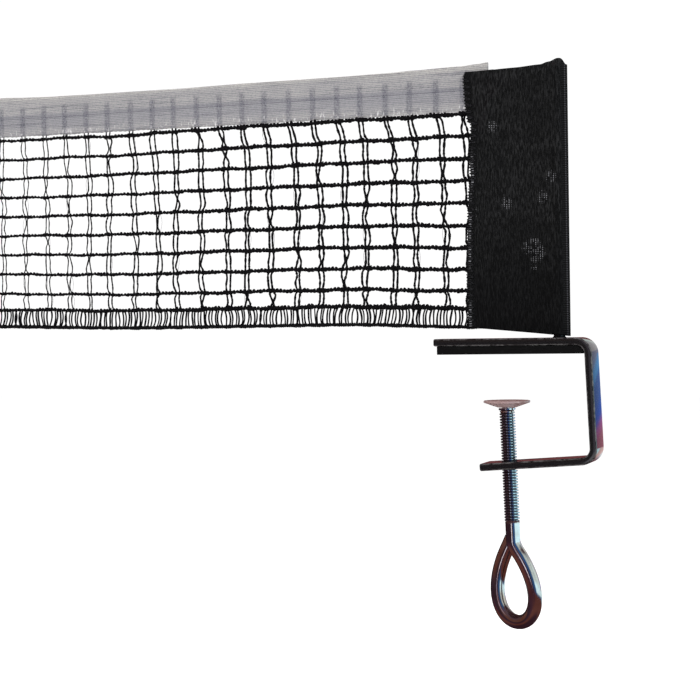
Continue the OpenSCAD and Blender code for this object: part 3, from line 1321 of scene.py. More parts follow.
    def cut_hole(self, bar: bpy.types.Object, overrun: float = 3.0) -> None:
        """Cuts the tapped hole through the lower arm, countersunk at both ends.

        Args:
            bar: The bar.
            overrun: How far the cutter stands out of the arm.
        """
        half = self.bar_t / 2
        wide = self.hole_r + self.sink + overrun
        outline = [(0, -half - overrun), (wide, -half - overrun), (self.hole_r, -half + self.sink),
                   (self.hole_r, half - self.sink), (wide, half + overrun), (0, half + overrun)]
        place = Matrix.Rotation(-math.radians(self.screw_lean), 4, "Y") @ Matrix.Translation(
            mm(0, 0, -self.jaw_height - half))
        cutter = lathe("cutter", outline, place, self.paint, 64)
        cut = bar.modifiers.new("hole", "BOOLEAN")
        cut.operation, cut.object, cut.solver = "DIFFERENCE", cutter, "EXACT"
        baked(bar)
        bpy.data.objects.remove(cutter)

    def build_pad(self) -> bpy.types.Object:
        """The rubber strip, its inner end rounded to clear the bend.

        Returns:
            The object.
        """
        start = self.throat - self.upper_arm_len + self.pad_setback
        end = self.throat - self.bar_t - self.pad_gap
        r = self.bend_r - self.bend_gap
        half_w = self.bar_w / 2 - self.pad_inset
        low = math.degrees(math.asin((r - self.pad_t) / r)) if r > self.pad_t else 0.0
        arc = rounded_corner((end - r, self.pad_t - r), r, low, 90, 12)
        outline = [(start, self.pad_t), (start, 0.0), *arc]
        n = len(outline)
        points = [(x, y, z) for y in (-half_w, half_w) for x, z in outline]
        faces = [list(range(n)), list(range(2 * n - 1, n - 1, -1))]
        faces += [[k, k + n, (k + 1) % n + n, (k + 1) % n] for k in range(n)]
        pad = piece("jaw_strip", np.array(points) * MILLI, faces, PadRubber().make(), 35)
        soft = pad.modifiers.new("edges", "BEVEL")
        soft.width, soft.segments, soft.limit_method = self.pad_soft * MILLI, 3, "ANGLE"
        soft.angle_limit = math.radians(self.pad_sharp)
        baked(pad)
        return pad

    def ripple(self, turn: float, height: float) -> float:
        """How far the bead of weld swells out.

        Args:
            turn: The angle round the post, in radians.
            height: The height.

        Returns:
            The change of its radius.
        """
        above = height > self.pad_t + self.bar_t - self.weld_bite / 2
        waves = math.sin(self.ripples * turn + self.ripple_sway * math.sin(turn))
        return self.ripple_h * waves * above - self.weld_thin

    def build_post(self) -> tuple[bpy.types.Object, bpy.types.Object]:
        """The post, domed on top, and the rippled bead of weld round its foot.

        Returns:
            The post and the bead.
        """
        r, foot, size = self.post_d / 2, self.pad_t + self.bar_t, self.weld_size
        stand = Matrix.Translation(mm(self.post_x, 0, 0))
        dome = rounded_corner((0, self.post_h - r), r, 0, 88, 10)
        post = lathe("post_rod", [(r, self.pad_t), *dome], stand, self.paint, 64)
        inner, under = r - self.weld_bite, foot - self.weld_bite
        bead = [(inner, under), (r + size, under),
                *[(r + size - size * math.sin(a), foot + size - size * math.cos(a))
                  for a in (math.radians(90 * k / 8) for k in range(9))],
                (inner, foot + size)]
        weld = lathe("weld_bead", bead, stand, self.paint, 160, 60, ripple=self.ripple)
        return post, weld

    def build(self) -> None:
        """Makes every piece and fixes it to the clamp."""
        bar, pad = self.build_bar(), self.build_pad()
        post, weld = self.build_post()
        fit(bar, Body.CLAMP, "clamp_frame")
        fit(pad, Body.CLAMP, "jaw_pad")
        fit(post, Body.CLAMP, "net_post")
        fit(weld, Body.CLAMP, "post_weld")


# --- Screw ---


@dataclass
class EyeScrew:
    """Threaded rod bent into a finger loop, with the washer and plate on its tip.

    Its points are given as [across, behind, down] from the jaw face along the screw; lengths
    are in millimetres and angles in degrees.

    Attributes:
        thinned: How much less than the screw's named size the plain rod's radius is.
        flank: Where the thread's side starts and ends, as shares from root to crest.
        thread_in: How far below the washer's top the thread starts, and is full.
        thread_out: Where it starts to fade, and is gone, from thread_end.
        eye_drop: How far below the shank the loop's top lies.
        eye_shift: How far the loop's neck stands off the screw's axis.
        loop: The part of the loop that the rod takes, which as a whole goes from 0 to 360.
        lobe: The greatest value of the loop's formula, and the power in it.
        crossing_gap: The gap where the rod passes behind its own neck.
        tail: The length of each of the two last straight stretches.
        play: The plate's play on the riveted tip.
        rivet: The riveted head's outline, down from its underside and out from the journal.
    """

    screw_d: float = 8.0
    lean: float = SCREW_LEAN
    pitch: float = 1.5
    crest_d: float = 8.36
    thread_depth: float = 1.1
    thinned: float = 0.09
    flank: Point2 = (0.12, 0.66)
    thread_in: Point2 = (1.4, 3.2)
    thread_out: Point2 = (-1.2, 0.6)
    rings_per_turn: int = 12
    thread_end: float = 90.4
    shank_end: float = 99.0
    eye_h: float = 44.6
    eye_w: float = 21.8
    eye_drop: float = 1.5
    eye_shift: float = 2.2
    loop: Point2 = (40.0, 320.0)
    lobe: Point2 = (0.803, 0.8)
    crossing_gap: float = 0.1
    tail: float = 3.3
    tail_soft: float = 0.35
    grip: float = 25.0
    plate_t: float = 3.7
    plate_rim_t: float = 1.2
    plate_d: float = 25.0
    journal_d: float = 5.0
    washer_d: float = 9.0
    washer_t: float = 1.0
    washer_soft: float = 0.15
    bore_gap: float = 0.05
    play: float = 0.42
    rivet: tuple[Point2, ...] = ((-1.08, 0.6), (-0.8, 0.95), (-0.15, 1.0), (0, 0.8))
    boss_wall: float = 0.7
    recess_gap: float = 1.1
    rim_soft: float = 0.35
    sides: int = 48
    steel: bpy.types.Material = field(default_factory=lambda: PlatedSteel("screw_zinc").make())

    def to_row(self, point: Sequence[float]) -> Vector:
        """A point [across, behind, down] from the jaw face along the screw, in the row frame."""
        turned = Matrix.Rotation(-math.radians(self.lean), 3, "Y")
        return turned @ mm(point[0], point[1], -point[2])

    def washer_top(self) -> float:
        """The depth of the washer's upper face along the axis."""
        return (self.grip + self.plate_t) / math.cos(math.radians(self.lean)) + self.play

    def eye_point(self, t: float) -> Point3:
        """A point of the loop's centre line.

        Args:
            t: 0 at the top and 180 at the lowest point, in degrees.

        Returns:
            The point [across, behind, down].
        """
        first, last = self.loop
        peak, power = self.lobe
        a = math.radians(t)
        out = math.sin(a) * math.sin(a / 2) ** power
        turned = math.radians(180 * (t - first) / (last - first))
        return (self.eye_w / 2 / peak * out - self.eye_shift * (1 + math.cos(a)) / 2,
                (self.screw_d + self.crossing_gap) * (1 - math.cos(turned)) / 2,
                self.shank_end + self.eye_drop + self.eye_h / 2 * (1 - math.cos(a)))

    def rod_path(self, knots: int = 22) -> np.ndarray:
        """The centre line below the thread: shank, neck, loop and tail.

        Args:
            knots: How many stretches of curve the loop has.

        Returns:
            (n, 3) points [across, behind, down].
        """
        loop = np.array([self.eye_point(lerp(*self.loop, k / knots)) for k in range(knots + 1)])
        heading = (loop[-1] - loop[-2]) / np.linalg.norm(loop[-1] - loop[-2])
        shank = [(0, 0, self.thread_end + 1.2), (0, 0, self.thread_end + 4),
                 (0, 0, self.shank_end + 0.8), (0.3, 0, self.shank_end + 3.6)]
        tail = [loop[-1] + heading * self.tail, loop[-1] + heading * (2 * self.tail)]
        return curve_through(np.vstack([shank, loop, tail]), 8)

    def thread_radius(self, depth: float, turn: float) -> Point3:
        """The thread's radius at a place, and how deep in its root the place lies.

        Args:
            depth: Along the axis, in millimetres.
            turn: Round the axis, in radians.

        Returns:
            The radius, a mark from 0, the crest, to 1, the root, and the thread's fullness.
        """
        share = (depth / self.pitch - turn / TURN) % 1.0
        rise = smoothstep(*self.flank, abs(2 * share - 1))
        top, end = self.washer_top(), self.thread_end
        fade = (smoothstep(top + self.thread_in[0], top + self.thread_in[1], depth)
                * (1 - smoothstep(end + self.thread_out[0], end + self.thread_out[1], depth)))
        radius = lerp(self.screw_d / 2 - self.thinned,
                      self.crest_d / 2 - self.thread_depth * (1 - rise), fade)
        return radius, (1 - rise) * fade, fade

    def tip_outline(self) -> list[Point2]:
        """The riveted head, the journal and the shoulder.

        Returns:
            A (depth, radius) for each ring, going down.
        """
        shoulder = self.washer_top() + self.washer_t
        journal, rod = self.journal_d / 2, self.screw_d / 2
        web = (self.grip + self.plate_t / 2) / math.cos(math.radians(self.lean))
        head = web - self.play
        rivet = [(head + down, journal + out) for down, out in self.rivet]
        return [(rivet[0][0], 0.4), *rivet, (head, journal), (shoulder, journal),
                (shoulder, rod - 0.7), (shoulder + 0.6, rod - 0.1)]

    def build_screw(self) -> bpy.types.Object:
        """One unbroken surface from the riveted tip to the end of the tail.

        Returns:
            The object.
        """
        turns = [TURN * k / self.sides for k in range(self.sides)]
        first, last = self.washer_top() + self.washer_t + 0.8, self.thread_end + 0.9
        count = int((last - first) / (self.pitch / self.rings_per_turn))
        rings = [[(depth, radius, 0.0, 0.0)] * self.sides for depth, radius in self.tip_outline()]
        for i in range(count + 1):
            depth = lerp(first, last, i / count)
            rings.append([(depth, *self.thread_radius(depth, a)) for a in turns])
        points = [self.to_row((radius * math.cos(a), radius * math.sin(a), depth))
                  for ring in rings for a, (depth, radius, _, _) in zip(turns, ring)]
        groove = [mark for ring in rings for _, _, mark, _ in ring]
        cut = [fullness for ring in rings for _, _, _, fullness in ring]
        rod = self.rod_rings(self.rod_path())
        points += [self.to_row(p) for ring in rod for p in ring]
        plain = [0.0] * (len(rod) * self.sides)
        faces = tube_faces(len(points) // self.sides, self.sides)
        return piece("threaded_eye", np.array(points), [f[::-1] for f in faces], self.steel, 50,
                     {"groove": np.array(groove + plain), "cut": np.array(cut + plain)})

    def rod_rings(self, path: np.ndarray) -> list[np.ndarray]:
        """Rings square to the rod's path, the first in line with the thread's own.

        Args:
            path: The rod's centre line.

        Returns:
            The points of each ring, the last ones drawn in to soften the tail's end.
        """
        plain = self.screw_d / 2 - self.thinned
        left = np.linalg.norm(path - path[-1], axis=1)
        radii = np.where(left < self.tail_soft, plain - self.tail_soft, plain)
        turns = np.arange(self.sides) * TURN / self.sides
        rings = []
        for centre, ahead, radius in zip(path, headings(path), radii):
            across = np.cross(Y_AXIS, ahead)
            across /= np.linalg.norm(across)
            back = np.cross(ahead, across)
            rings.append(centre + radius * (np.cos(turns)[:, None] * across
                                            + np.sin(turns)[:, None] * back))
        return rings

    def build_washer(self) -> bpy.types.Object:
        """The thrust washer, its edges softened.

        Returns:
            The object.
        """
        r, bore = self.washer_d / 2, self.journal_d / 2 + self.bore_gap
        t, soft = self.washer_t, self.washer_soft
        outline = [(bore, 0), (r - soft, 0), (r, soft), (r, t - soft), (r - soft, t), (bore, t)]
        place = (Matrix.Rotation(-math.radians(self.lean), 4, "Y")
                 @ Matrix.Translation(mm(0, 0, -self.washer_top() - t)))
        return lathe("tip_washer", outline, place, self.steel, 64, hollow=True)

    def build_plate(self) -> bpy.types.Object:
        """The pressure plate: flat above, coned below, with a rolled rim.

        Returns:
            The object.
        """
        r, t, soft = self.plate_d / 2, self.plate_t, self.rim_soft
        low = t - self.plate_rim_t
        boss = self.washer_d / 2 + self.boss_wall
        bore = self.journal_d / 2 + self.play
        recess = self.journal_d / 2 + max(out for _, out in self.rivet) + self.recess_gap
        outline = [(bore, 0), (boss - 0.3, 0), (boss, 0.08),
                   *rounded_corner((r - soft, low + soft), soft, -70, 0, 4),
                   *rounded_corner((r - soft, t - soft), soft, 0, 90, 4),
                   (recess + 0.3, t), (recess, t - 0.3), (recess, t / 2), (bore, t / 2)]
        deep = self.grip + self.plate_t
        place = Matrix.Translation(mm(deep * math.tan(math.radians(self.lean)), 0, -deep))
        steel = PlatedSteel("plate_steel", bright=(0.36, 0.26, 0.255), warm=(0.28, 0.18, 0.17),
                            roughness=0.3, metallic=0.45).make()
        return lathe("swivel_plate", outline, place, steel, 96, hollow=True)

    def build(self) -> None:
        """Makes every piece and puts each on its own body."""
        fit(self.build_screw(), Body.SCREW, "eye_screw")
        fit(self.build_washer(), Body.WASHER, "thrust_washer")
        fit(self.build_plate(), Body.PLATE, "pressure_plate")


# --- Net ---


@dataclass
class Netting:
    """Cords across, doubled strings down, and the laddered hem, in the plane y = 0.

    Lengths are in millimetres. A jitter is the most that a draw adds or takes away.

    Attributes:
        net_in: From the post's axis to the net's near end.
        first_column: From the post's axis to the first pair of strings.
        end_margin: How far the cords go past the last pair.
        lowest_gap: The height between the two lowest cords.
        near_lift: The net's lift by the sleeve, how far past the first pair it fades out, and
            how far before that pair it is full.
        far_lift: Its lift at the far end, how far past the first pair it starts, and how far
            beyond the end it is full.
        slack: The sag under the tape, its place past the first pair, and its width.
        spread: Half the space between the strings of a pair, least and most.
        drift: The share of a pair's sideways drift that the next cord keeps, and its jitter.
        slants: The shares of slant_stops by which a pair slants at the first cords.
        lump: The length of a cord's lumps; lumps has their least and greatest share.
        knots: The share by which a knot thickens the top cord, and the others.
        cord_waves: The height and length of three waves in a cord.
        cord_twist: The length of a cord's lay, and the share of its bulges.
        string_stops: By place, how thick a string is.
        cord_stops: By place, a cord's share of its size.
        pinches: The shares to which a pair may close between two cords.
        rungs_alike: How many of the hem's rungs bow and lean in one way.
    """

    post_x: float = POST_X
    net_in: float = 37.0
    first_column: float = 49.2
    end_margin: float = 0.8
    tape_bottom: float = 131.0
    tape_top: float = NET_TOP
    mesh_bottom: float = 27.3
    hem_bottom: float = 16.5
    lowest_gap: float = 9.4
    near_lift: Point3 = (-2.4, 75.0, 8.0)
    far_lift: Point3 = (2.3, 190.0, 10.0)
    slack: Point3 = (0.9, 205.0, 32.0)
    rows: int = 10
    columns: int = 22
    column_pitch: float = 14.35
    column_jitter: float = 0.5
    spread: Point2 = (1.0, 1.35)
    drift: Point2 = (0.8, 0.75)
    slants: Point2 = (1.0, 0.12)
    cord_d: float = 1.8
    cord_fill: float = 1.14
    lowest_heft: float = 1.12
    cord_step: float = 0.34
    lump: float = 1.1
    lumps: Point2 = (-0.24, 0.28)
    knots: Point2 = (0.4, 0.2)
    knot_w: float = 0.7
    cord_waves: tuple[Point2, ...] = ((0.22, 9.1), (0.16, 3.3), (0.16, 0.43))
    cord_twist: Point2 = (4.2, 0.30)
    string_twist: Point2 = (2.2, 0.16)
    hem_twist: Point2 = (2.6, 0.22)
    rung_twist: Point2 = (1.8, 0.16)
    string_stops: tuple[Point2, ...] = ((-300, 0.66), (-260, 0.76), (-220, 0.95), (-180, 1.1),
                                        (-140, 1.26))
    cord_stops: tuple[Point2, ...] = ((-300, 0.72), (-240, 0.80), (-150, 0.97), (-90, 1.02))
    slant_stops: tuple[Point2, ...] = ((0, 1.9), (1, 3.0), (3, 3.3), (8, 2.6), (14, 1.2),
                                       (21, 0.3))
    pinches: tuple[float, ...] = (1.2, 1.12, 1.06, 1.02, 1.0, 0.96, 0.9, 0.8, 0.6, 0.2)
    bow_jitter: float = 1.05
    sway_jitter: float = 0.3
    string_jitter: float = 0.26
    fluff_share: float = 0.4
    fluff_r: float = 0.11
    rung_pitch: float = 1.88
    rungs_alike: int = 6
    seed: int = 41
    yarn: bpy.types.Material = field(default_factory=lambda: CordYarn("net_yarn").make())
    fluff: bpy.types.Material = field(default_factory=lambda: CordYarn(
        "net_fluff", (0.10, 0.09, 0.10), (0.30, 0.28, 0.30)).make())

    def __post_init__(self) -> None:
        """Works out the ends of the net and where its strings cross its cords."""
        self.end = self.post_x - self.net_in
        self.first = self.post_x - self.first_column
        self.far = self.first - (self.columns - 1) * self.column_pitch - self.end_margin
        self.draw = random.Random(self.seed)
        self.crossings = [self.weave(column) for column in range(self.columns)]

    def jitter(self, most: float) -> float:
        """A random number between -most and most."""
        return self.draw.uniform(-most, most)

    def stations(self) -> np.ndarray:
        """The places along the net at which a cord has its rings."""
        return np.linspace(self.far, self.end, int((self.end - self.far) / self.cord_step))

    def row_height(self, row: int) -> float:
        """The height of a cord where the net hangs straight.

        Args:
            row: Counted from the tape.

        Returns:
            The height of its centre line.
        """
        if row == self.rows - 1:
            return self.mesh_bottom
        top = self.tape_bottom - self.cord_d / 2
        return top - row * (top - self.mesh_bottom - self.lowest_gap) / (self.rows - 2)

    def hang(self, x: float, z: float) -> float:
        """How far the net's pull moves a point of it.

        Args:
            x: Its place along the net.
            z: Its height where the net hangs straight.

        Returns:
            The change of height, upward.
        """
        down = (self.tape_bottom - z) / (self.tape_bottom - self.hem_bottom)
        lift, start, full = self.near_lift
        near = through([(self.first - start, 0.0), (self.first + full, lift)], x)
        lift, start, full = self.far_lift
        far = through([(self.far - full, lift), (self.first - start, 0.0)], x)
        sag, at, width = self.slack
        slack = sag * math.exp(-((x - self.first + at) / width) ** 2) * smoothstep(0.25, 0, down)
        return (near + far) * smoothstep(0.0, 0.7, down) - slack

    def weave(self, column: int) -> list[Point2]:
        """Where the two strings of a column pass each cord.

        Args:
            column: Counted from the sleeve.

        Returns:
            Their middle and half the space between them, for each cord from the top.
        """
        home = self.first - column * self.column_pitch + self.jitter(self.column_jitter)
        kept, step = self.drift
        drift = 0.0
        places = []
        for row in range(self.rows):
            share = self.slants[row] if row < len(self.slants) else 0.0
            slant = through(self.slant_stops, column) * share
            places.append((home + drift - slant, self.draw.uniform(*self.spread)))
            drift = kept * drift + self.jitter(step)
        return places

    def bumps(self, row: int, xs: np.ndarray) -> np.ndarray:
        """How much thicker a cord is than its mean: lumps and knots.

        Args:
            row: Counted from the tape.
            xs: The places along it.

        Returns:
            A share of its thickness for each place.
        """
        places = np.arange(self.far - 2, self.end + 2, self.lump)
        noise = np.interp(xs, places, [self.draw.uniform(*self.lumps) for _ in places])
        noise = np.convolve(np.pad(noise, 1, mode="edge"), (0.25, 0.5, 0.25), mode="valid")
        for column in self.crossings:
            centre, half = column[row]
            for x in (centre - half, centre + half):
                noise = noise + self.knots[row > 0] * np.exp(-((xs - x) / self.knot_w) ** 2)
        return noise

    def build_cords(self) -> bpy.types.Object:
        """The thick cords across, each a pair of twisted yarns, knotted where strings cross.

        Returns:
            The object.
        """
        strands = Strands(10)
        xs = self.stations()
        lay, lobes = self.cord_twist
        (a0, l0), (a1, l1), (a2, l2) = self.cord_waves
        for row in range(self.rows):
            z0 = self.row_height(row)
            phases = [self.draw.uniform(*ANY_PHASE) for _ in range(3)]
            wave = (a0 * np.sin(xs / l0 + phases[0]) + a1 * np.sin(xs / l1 + phases[1])
                    + a2 * np.sin(xs / l2 + phases[2] + np.sin(xs / 4.1)))
            low = np.array([z0 + self.hang(x, z0) for x in xs])
            path = np.stack([xs, 0.1 * np.sin(xs / 5 + phases[1]), low + wave], axis=1)
            heavy = self.lowest_heft if row == self.rows - 1 else 1.0
            heft = np.array([through(self.cord_stops, x) for x in xs]) * heavy
            radius = self.cord_d / 2 * self.cord_fill * heft * (1 + self.bumps(row, xs))
            strands.rope(path * MILLI, radius * MILLI, lay * MILLI, lobes, Y_AXIS, phases[0])
        return strands.build("mesh_cords", self.yarn)

    def string_paths(self, column: int) -> list[np.ndarray]:
        """The two strings of one column, from inside the tape to the hem's cord.

        Args:
            column: Counted from the sleeve.

        Returns:
            The centre line of each, in metres.
        """
        places = self.crossings[column]
        top = self.tape_top - 4.5
        first, spread = places[0]
        knots: list[list[Point3]] = [[], []]
        for string, sign in zip(knots, (-1, 1)):
            for up in (top, top - 8, self.tape_bottom + 1.4):
                string.append((first + sign * spread + self.jitter(0.25), 0, up))
        for row, (at, half) in enumerate(places):
            z = self.row_height(row)
            over = 1 if row % 2 else -1
            for string, sign in zip(knots, (-1, 1)):
                x = at + sign * half
                string.append((x, 0.5 * sign * over, z + self.hang(x, z)))
            if row == self.rows - 1:
                break
            below, half_below = places[row + 1]
            gap = z - self.row_height(row + 1)
            bow = self.jitter(self.bow_jitter)
            for t in (0.3, 0.68):
                pinch = self.draw.choice(self.pinches)
                sway = bow * math.sin(math.pi * t) + self.jitter(self.sway_jitter)
                open_by = lerp(half, half_below, t) * pinch
                zz = z - gap * (t + self.jitter(0.06))
                for string, sign in zip(knots, (-1, 1)):
                    x = (lerp(at, below, t) + sway + sign * open_by
                         + self.jitter(self.string_jitter))
                    string.append((x, 0.15 * sign, zz + self.hang(x, zz)))
        return [curve_through(np.array(string), 5) * MILLI for string in knots]

    def build_strings(self) -> bpy.types.Object:
        """The doubled strings down, thinner toward the far end.

        Returns:
            The object.
        """
        strands = Strands(6)
        lay, lobes = self.string_twist
        for column in range(self.columns):
            width = through(self.string_stops, self.crossings[column][0][0])
            for path in self.string_paths(column):
                radius = np.array([width / 2 * self.draw.uniform(0.84, 1.2) for _ in path])
                radius[path[:, 2] > (self.tape_bottom + 0.6) * MILLI] *= 0.5
                strands.rope(path, radius * MILLI, lay * MILLI, lobes, Y_AXIS,
                             self.draw.uniform(0, 6))
        return strands.build("mesh_strings", self.yarn)

    def build_fluff(self) -> bpy.types.Object:
        """Thin pale filaments that have come away from the strings.

        Returns:
            The object.
        """
        strands = Strands(4)
        outline = circle(self.fluff_r * MILLI, 4)
        for places in self.crossings:
            for row in range(self.rows - 1):
                if self.draw.random() > self.fluff_share:
                    continue
                (at, half), (below, _) = places[row], places[row + 1]
                z, z_below = self.row_height(row), self.row_height(row + 1)
                side = self.draw.choice((-1, 1)) * half
                out = side * self.draw.uniform(1.2, 2.0)
                knots = np.array([(at + side, 0.3, z),
                                  (lerp(at, below, 0.4) + out, 0.3, lerp(z, z_below, 0.45)),
                                  (below + side * 0.8, 0.3, z_below)])
                knots[:, 2] += [self.hang(x, zz) for x, _, zz in knots]
                strands.add(curve_through(knots, 5) * MILLI, outline, Y_AXIS)
        return strands.build("string_fluff", self.fluff)

    def build_hem(self) -> bpy.types.Object:
        """The bottom line of the hem.

        Returns:
            The object.
        """
        strands = Strands(10)
        lay, lobes = self.hem_twist
        xs = self.stations()
        z = self.hem_bottom + 0.65
        low = np.array([z + self.hang(x, z) for x in xs])
        path = np.stack([xs, 0.08 * np.sin(xs * 2.1), low + 0.06 * np.sin(xs / 2.3)], axis=1)
        radius = 0.98 * (1 + 0.6 * self.bumps(self.rows - 1, xs))
        strands.rope(path * MILLI, radius * MILLI, lay * MILLI, lobes, Y_AXIS)
        return strands.build("hem_line", self.yarn)

    def build_rungs(self) -> bpy.types.Object:
        """The bowed rungs that hang the bottom line from the lowest cord.

        Returns:
            The object.
        """
        rungs = Strands(6)
        lay, lobes = self.rung_twist
        count = int((self.end - self.far) / self.rung_pitch)
        bow, lean = 0.0, 0.0
        for i in range(count + 1):
            x = self.far + 0.4 + i * self.rung_pitch + (0.2 if i % 2 else -0.2)
            x += self.jitter(0.2)
            if i % self.rungs_alike == 0:
                bow = self.draw.uniform(0.3, 1.15) * self.draw.choice((-1, 1))
                lean = self.draw.uniform(-0.9, 1.9)
            knots = []
            tilt = lean + self.jitter(0.5)
            for k in range(4):
                z = lerp(self.hem_bottom + 0.6, self.mesh_bottom, k / 3)
                out = bow * math.sin(math.pi * k / 3) + self.jitter(0.14)
                xx = x + out + tilt * (k / 3 - 0.5)
                knots.append((xx, self.jitter(0.2), z + self.hang(xx, z)))
            rungs.rope(curve_through(np.array(knots), 4) * MILLI,
                       self.draw.uniform(0.45, 0.56) * MILLI, lay * MILLI, lobes, Y_AXIS, i)
        return rungs.build("hem_rungs", self.yarn)

    def build(self) -> None:
        """Makes the netting and hangs it on the net's body."""
        fit(self.build_cords(), Body.NET, "net_mesh")
        fit(self.build_strings(), Body.NET)
        fit(self.build_fluff(), Body.NET)
        fit(self.build_hem(), Body.NET, "net_hem")
        fit(self.build_rungs(), Body.NET)


@dataclass
class Tape:
    """Thin ribbon folded over the top of the netting, in millimetres.

    Attributes:
        bottom_stops: By place, the height of the free edges.
        half_t: Half the space between the two flaps.
        waves: The height and length of three waves out of its plane.
        free_at: How far below the fold the ribbon is free to wave.
        edge_waves: The heights of two waves in the free edges, with the length of the first and
            the rate of the second.
        band: How far from a pair of strings it no longer shows, and shows in full.
        lift_stops: By place, how far the fold is pulled up.
    """

    net: Netting
    top: float = NET_TOP
    bottom_stops: tuple[Point2, ...] = ((-330, 132.2), (-120, 131.4), (-20, 130.95))
    half_t: float = 0.62
    cloth_t: float = 0.22
    waves: tuple[Point2, ...] = ((0.10, 23.0), (0.10, 7.3), (0.05, 3.7))
    free_at: float = 23.0
    edge_waves: tuple[Point2, ...] = ((0.14, 2.9), (0.1, 2.1))
    band: Point2 = (2.1, 1.2)
    lift_stops: tuple[Point2, ...] = ((-305, 1.5), (-288, 0.8), (-272, 0.45), (-240, 0.15),
                                      (-190, -0.05), (-150, 0.35), (-91, 0.4), (-63, 0.6),
                                      (-50, 1.0), (-22, 1.6), (-13, 2.2), (-7, 2.75))
    step: float = 0.65
    rises: int = 14

    def profile(self, low: float) -> list[Point2]:
        """The ribbon's line across: up the front, over the fold and down the back.

        Args:
            low: The height of its free edges.

        Returns:
            The line's points, as (y, z).
        """
        rise = [(-self.half_t, lerp(low, self.top - self.half_t, k / self.rises))
                for k in range(self.rises + 1)]
        fold = rounded_corner((0, self.top - self.half_t), self.half_t, 162, 18, 6)
        return [*rise, *fold, *[(-y, z) for y, z in reversed(rise)]]

    def flutter(self, x: float, y: float, z: float) -> float:
        """How far the ribbon waves out of its plane.

        Args:
            x: The place along it.
            y: On which flap: above 0 on the back one.
            z: The height.

        Returns:
            The change of y.
        """
        free = smoothstep(self.top, self.top - self.free_at, z)
        side = 1 if y > 0 else -1
        (a0, l0), (a1, l1), (a2, l2) = self.waves
        return (a0 * math.sin(x / l0) + free * a1 * math.sin(x / l1 + side)
                + a2 * math.sin(x / l2 + z / 4.0))

    def edge(self, x: float) -> float:
        """The height of the free edges.

        Args:
            x: Where along the net.

        Returns:
            The height.
        """
        (a0, length), (a1, rate) = self.edge_waves
        return (through(self.bottom_stops, x) + a0 * math.sin(x / length)
                + a1 * math.sin(x * rate))

    def behind(self, x: float) -> float:
        """How far the ribbon's place at x lies over a pair of strings, from 0 to 1."""
        near = min(abs(x - column[0][0]) for column in self.net.crossings)
        return smoothstep(*self.band, near)

    def build(self) -> None:
        steps = int((self.net.end - self.net.far) / self.step)
        points, faces, behind = [], [], []
        n = len(self.profile(0))
        for i in range(steps + 1):
            x = lerp(self.net.far, self.net.end, i / steps)
            low, over, lift = self.edge(x), self.behind(x), through(self.lift_stops, x)
            for y, z in self.profile(low):
                rise = lift * (z - low) / (self.top - low)
                points.append((x, y + self.flutter(x, y, z), z + rise))
                behind.append(over)
            if i:
                a, b = (i - 1) * n, i * n
                faces += [[a + k, b + k, b + k + 1, a + k + 1] for k in range(n - 1)]
        cloth = TapeCloth("tape_ribbon", self.top, self.net.tape_bottom).make()
        tape = piece("top_tape", np.array(points) * MILLI, faces, cloth, 60,
                     {"behind": np.array(behind)})
        thickened(tape, self.cloth_t)
        fit(tape, Body.NET, "net_tape")
        length = (self.net.end - self.net.far) * MILLI
        width = 2 * (self.top - self.net.tape_bottom) * MILLI


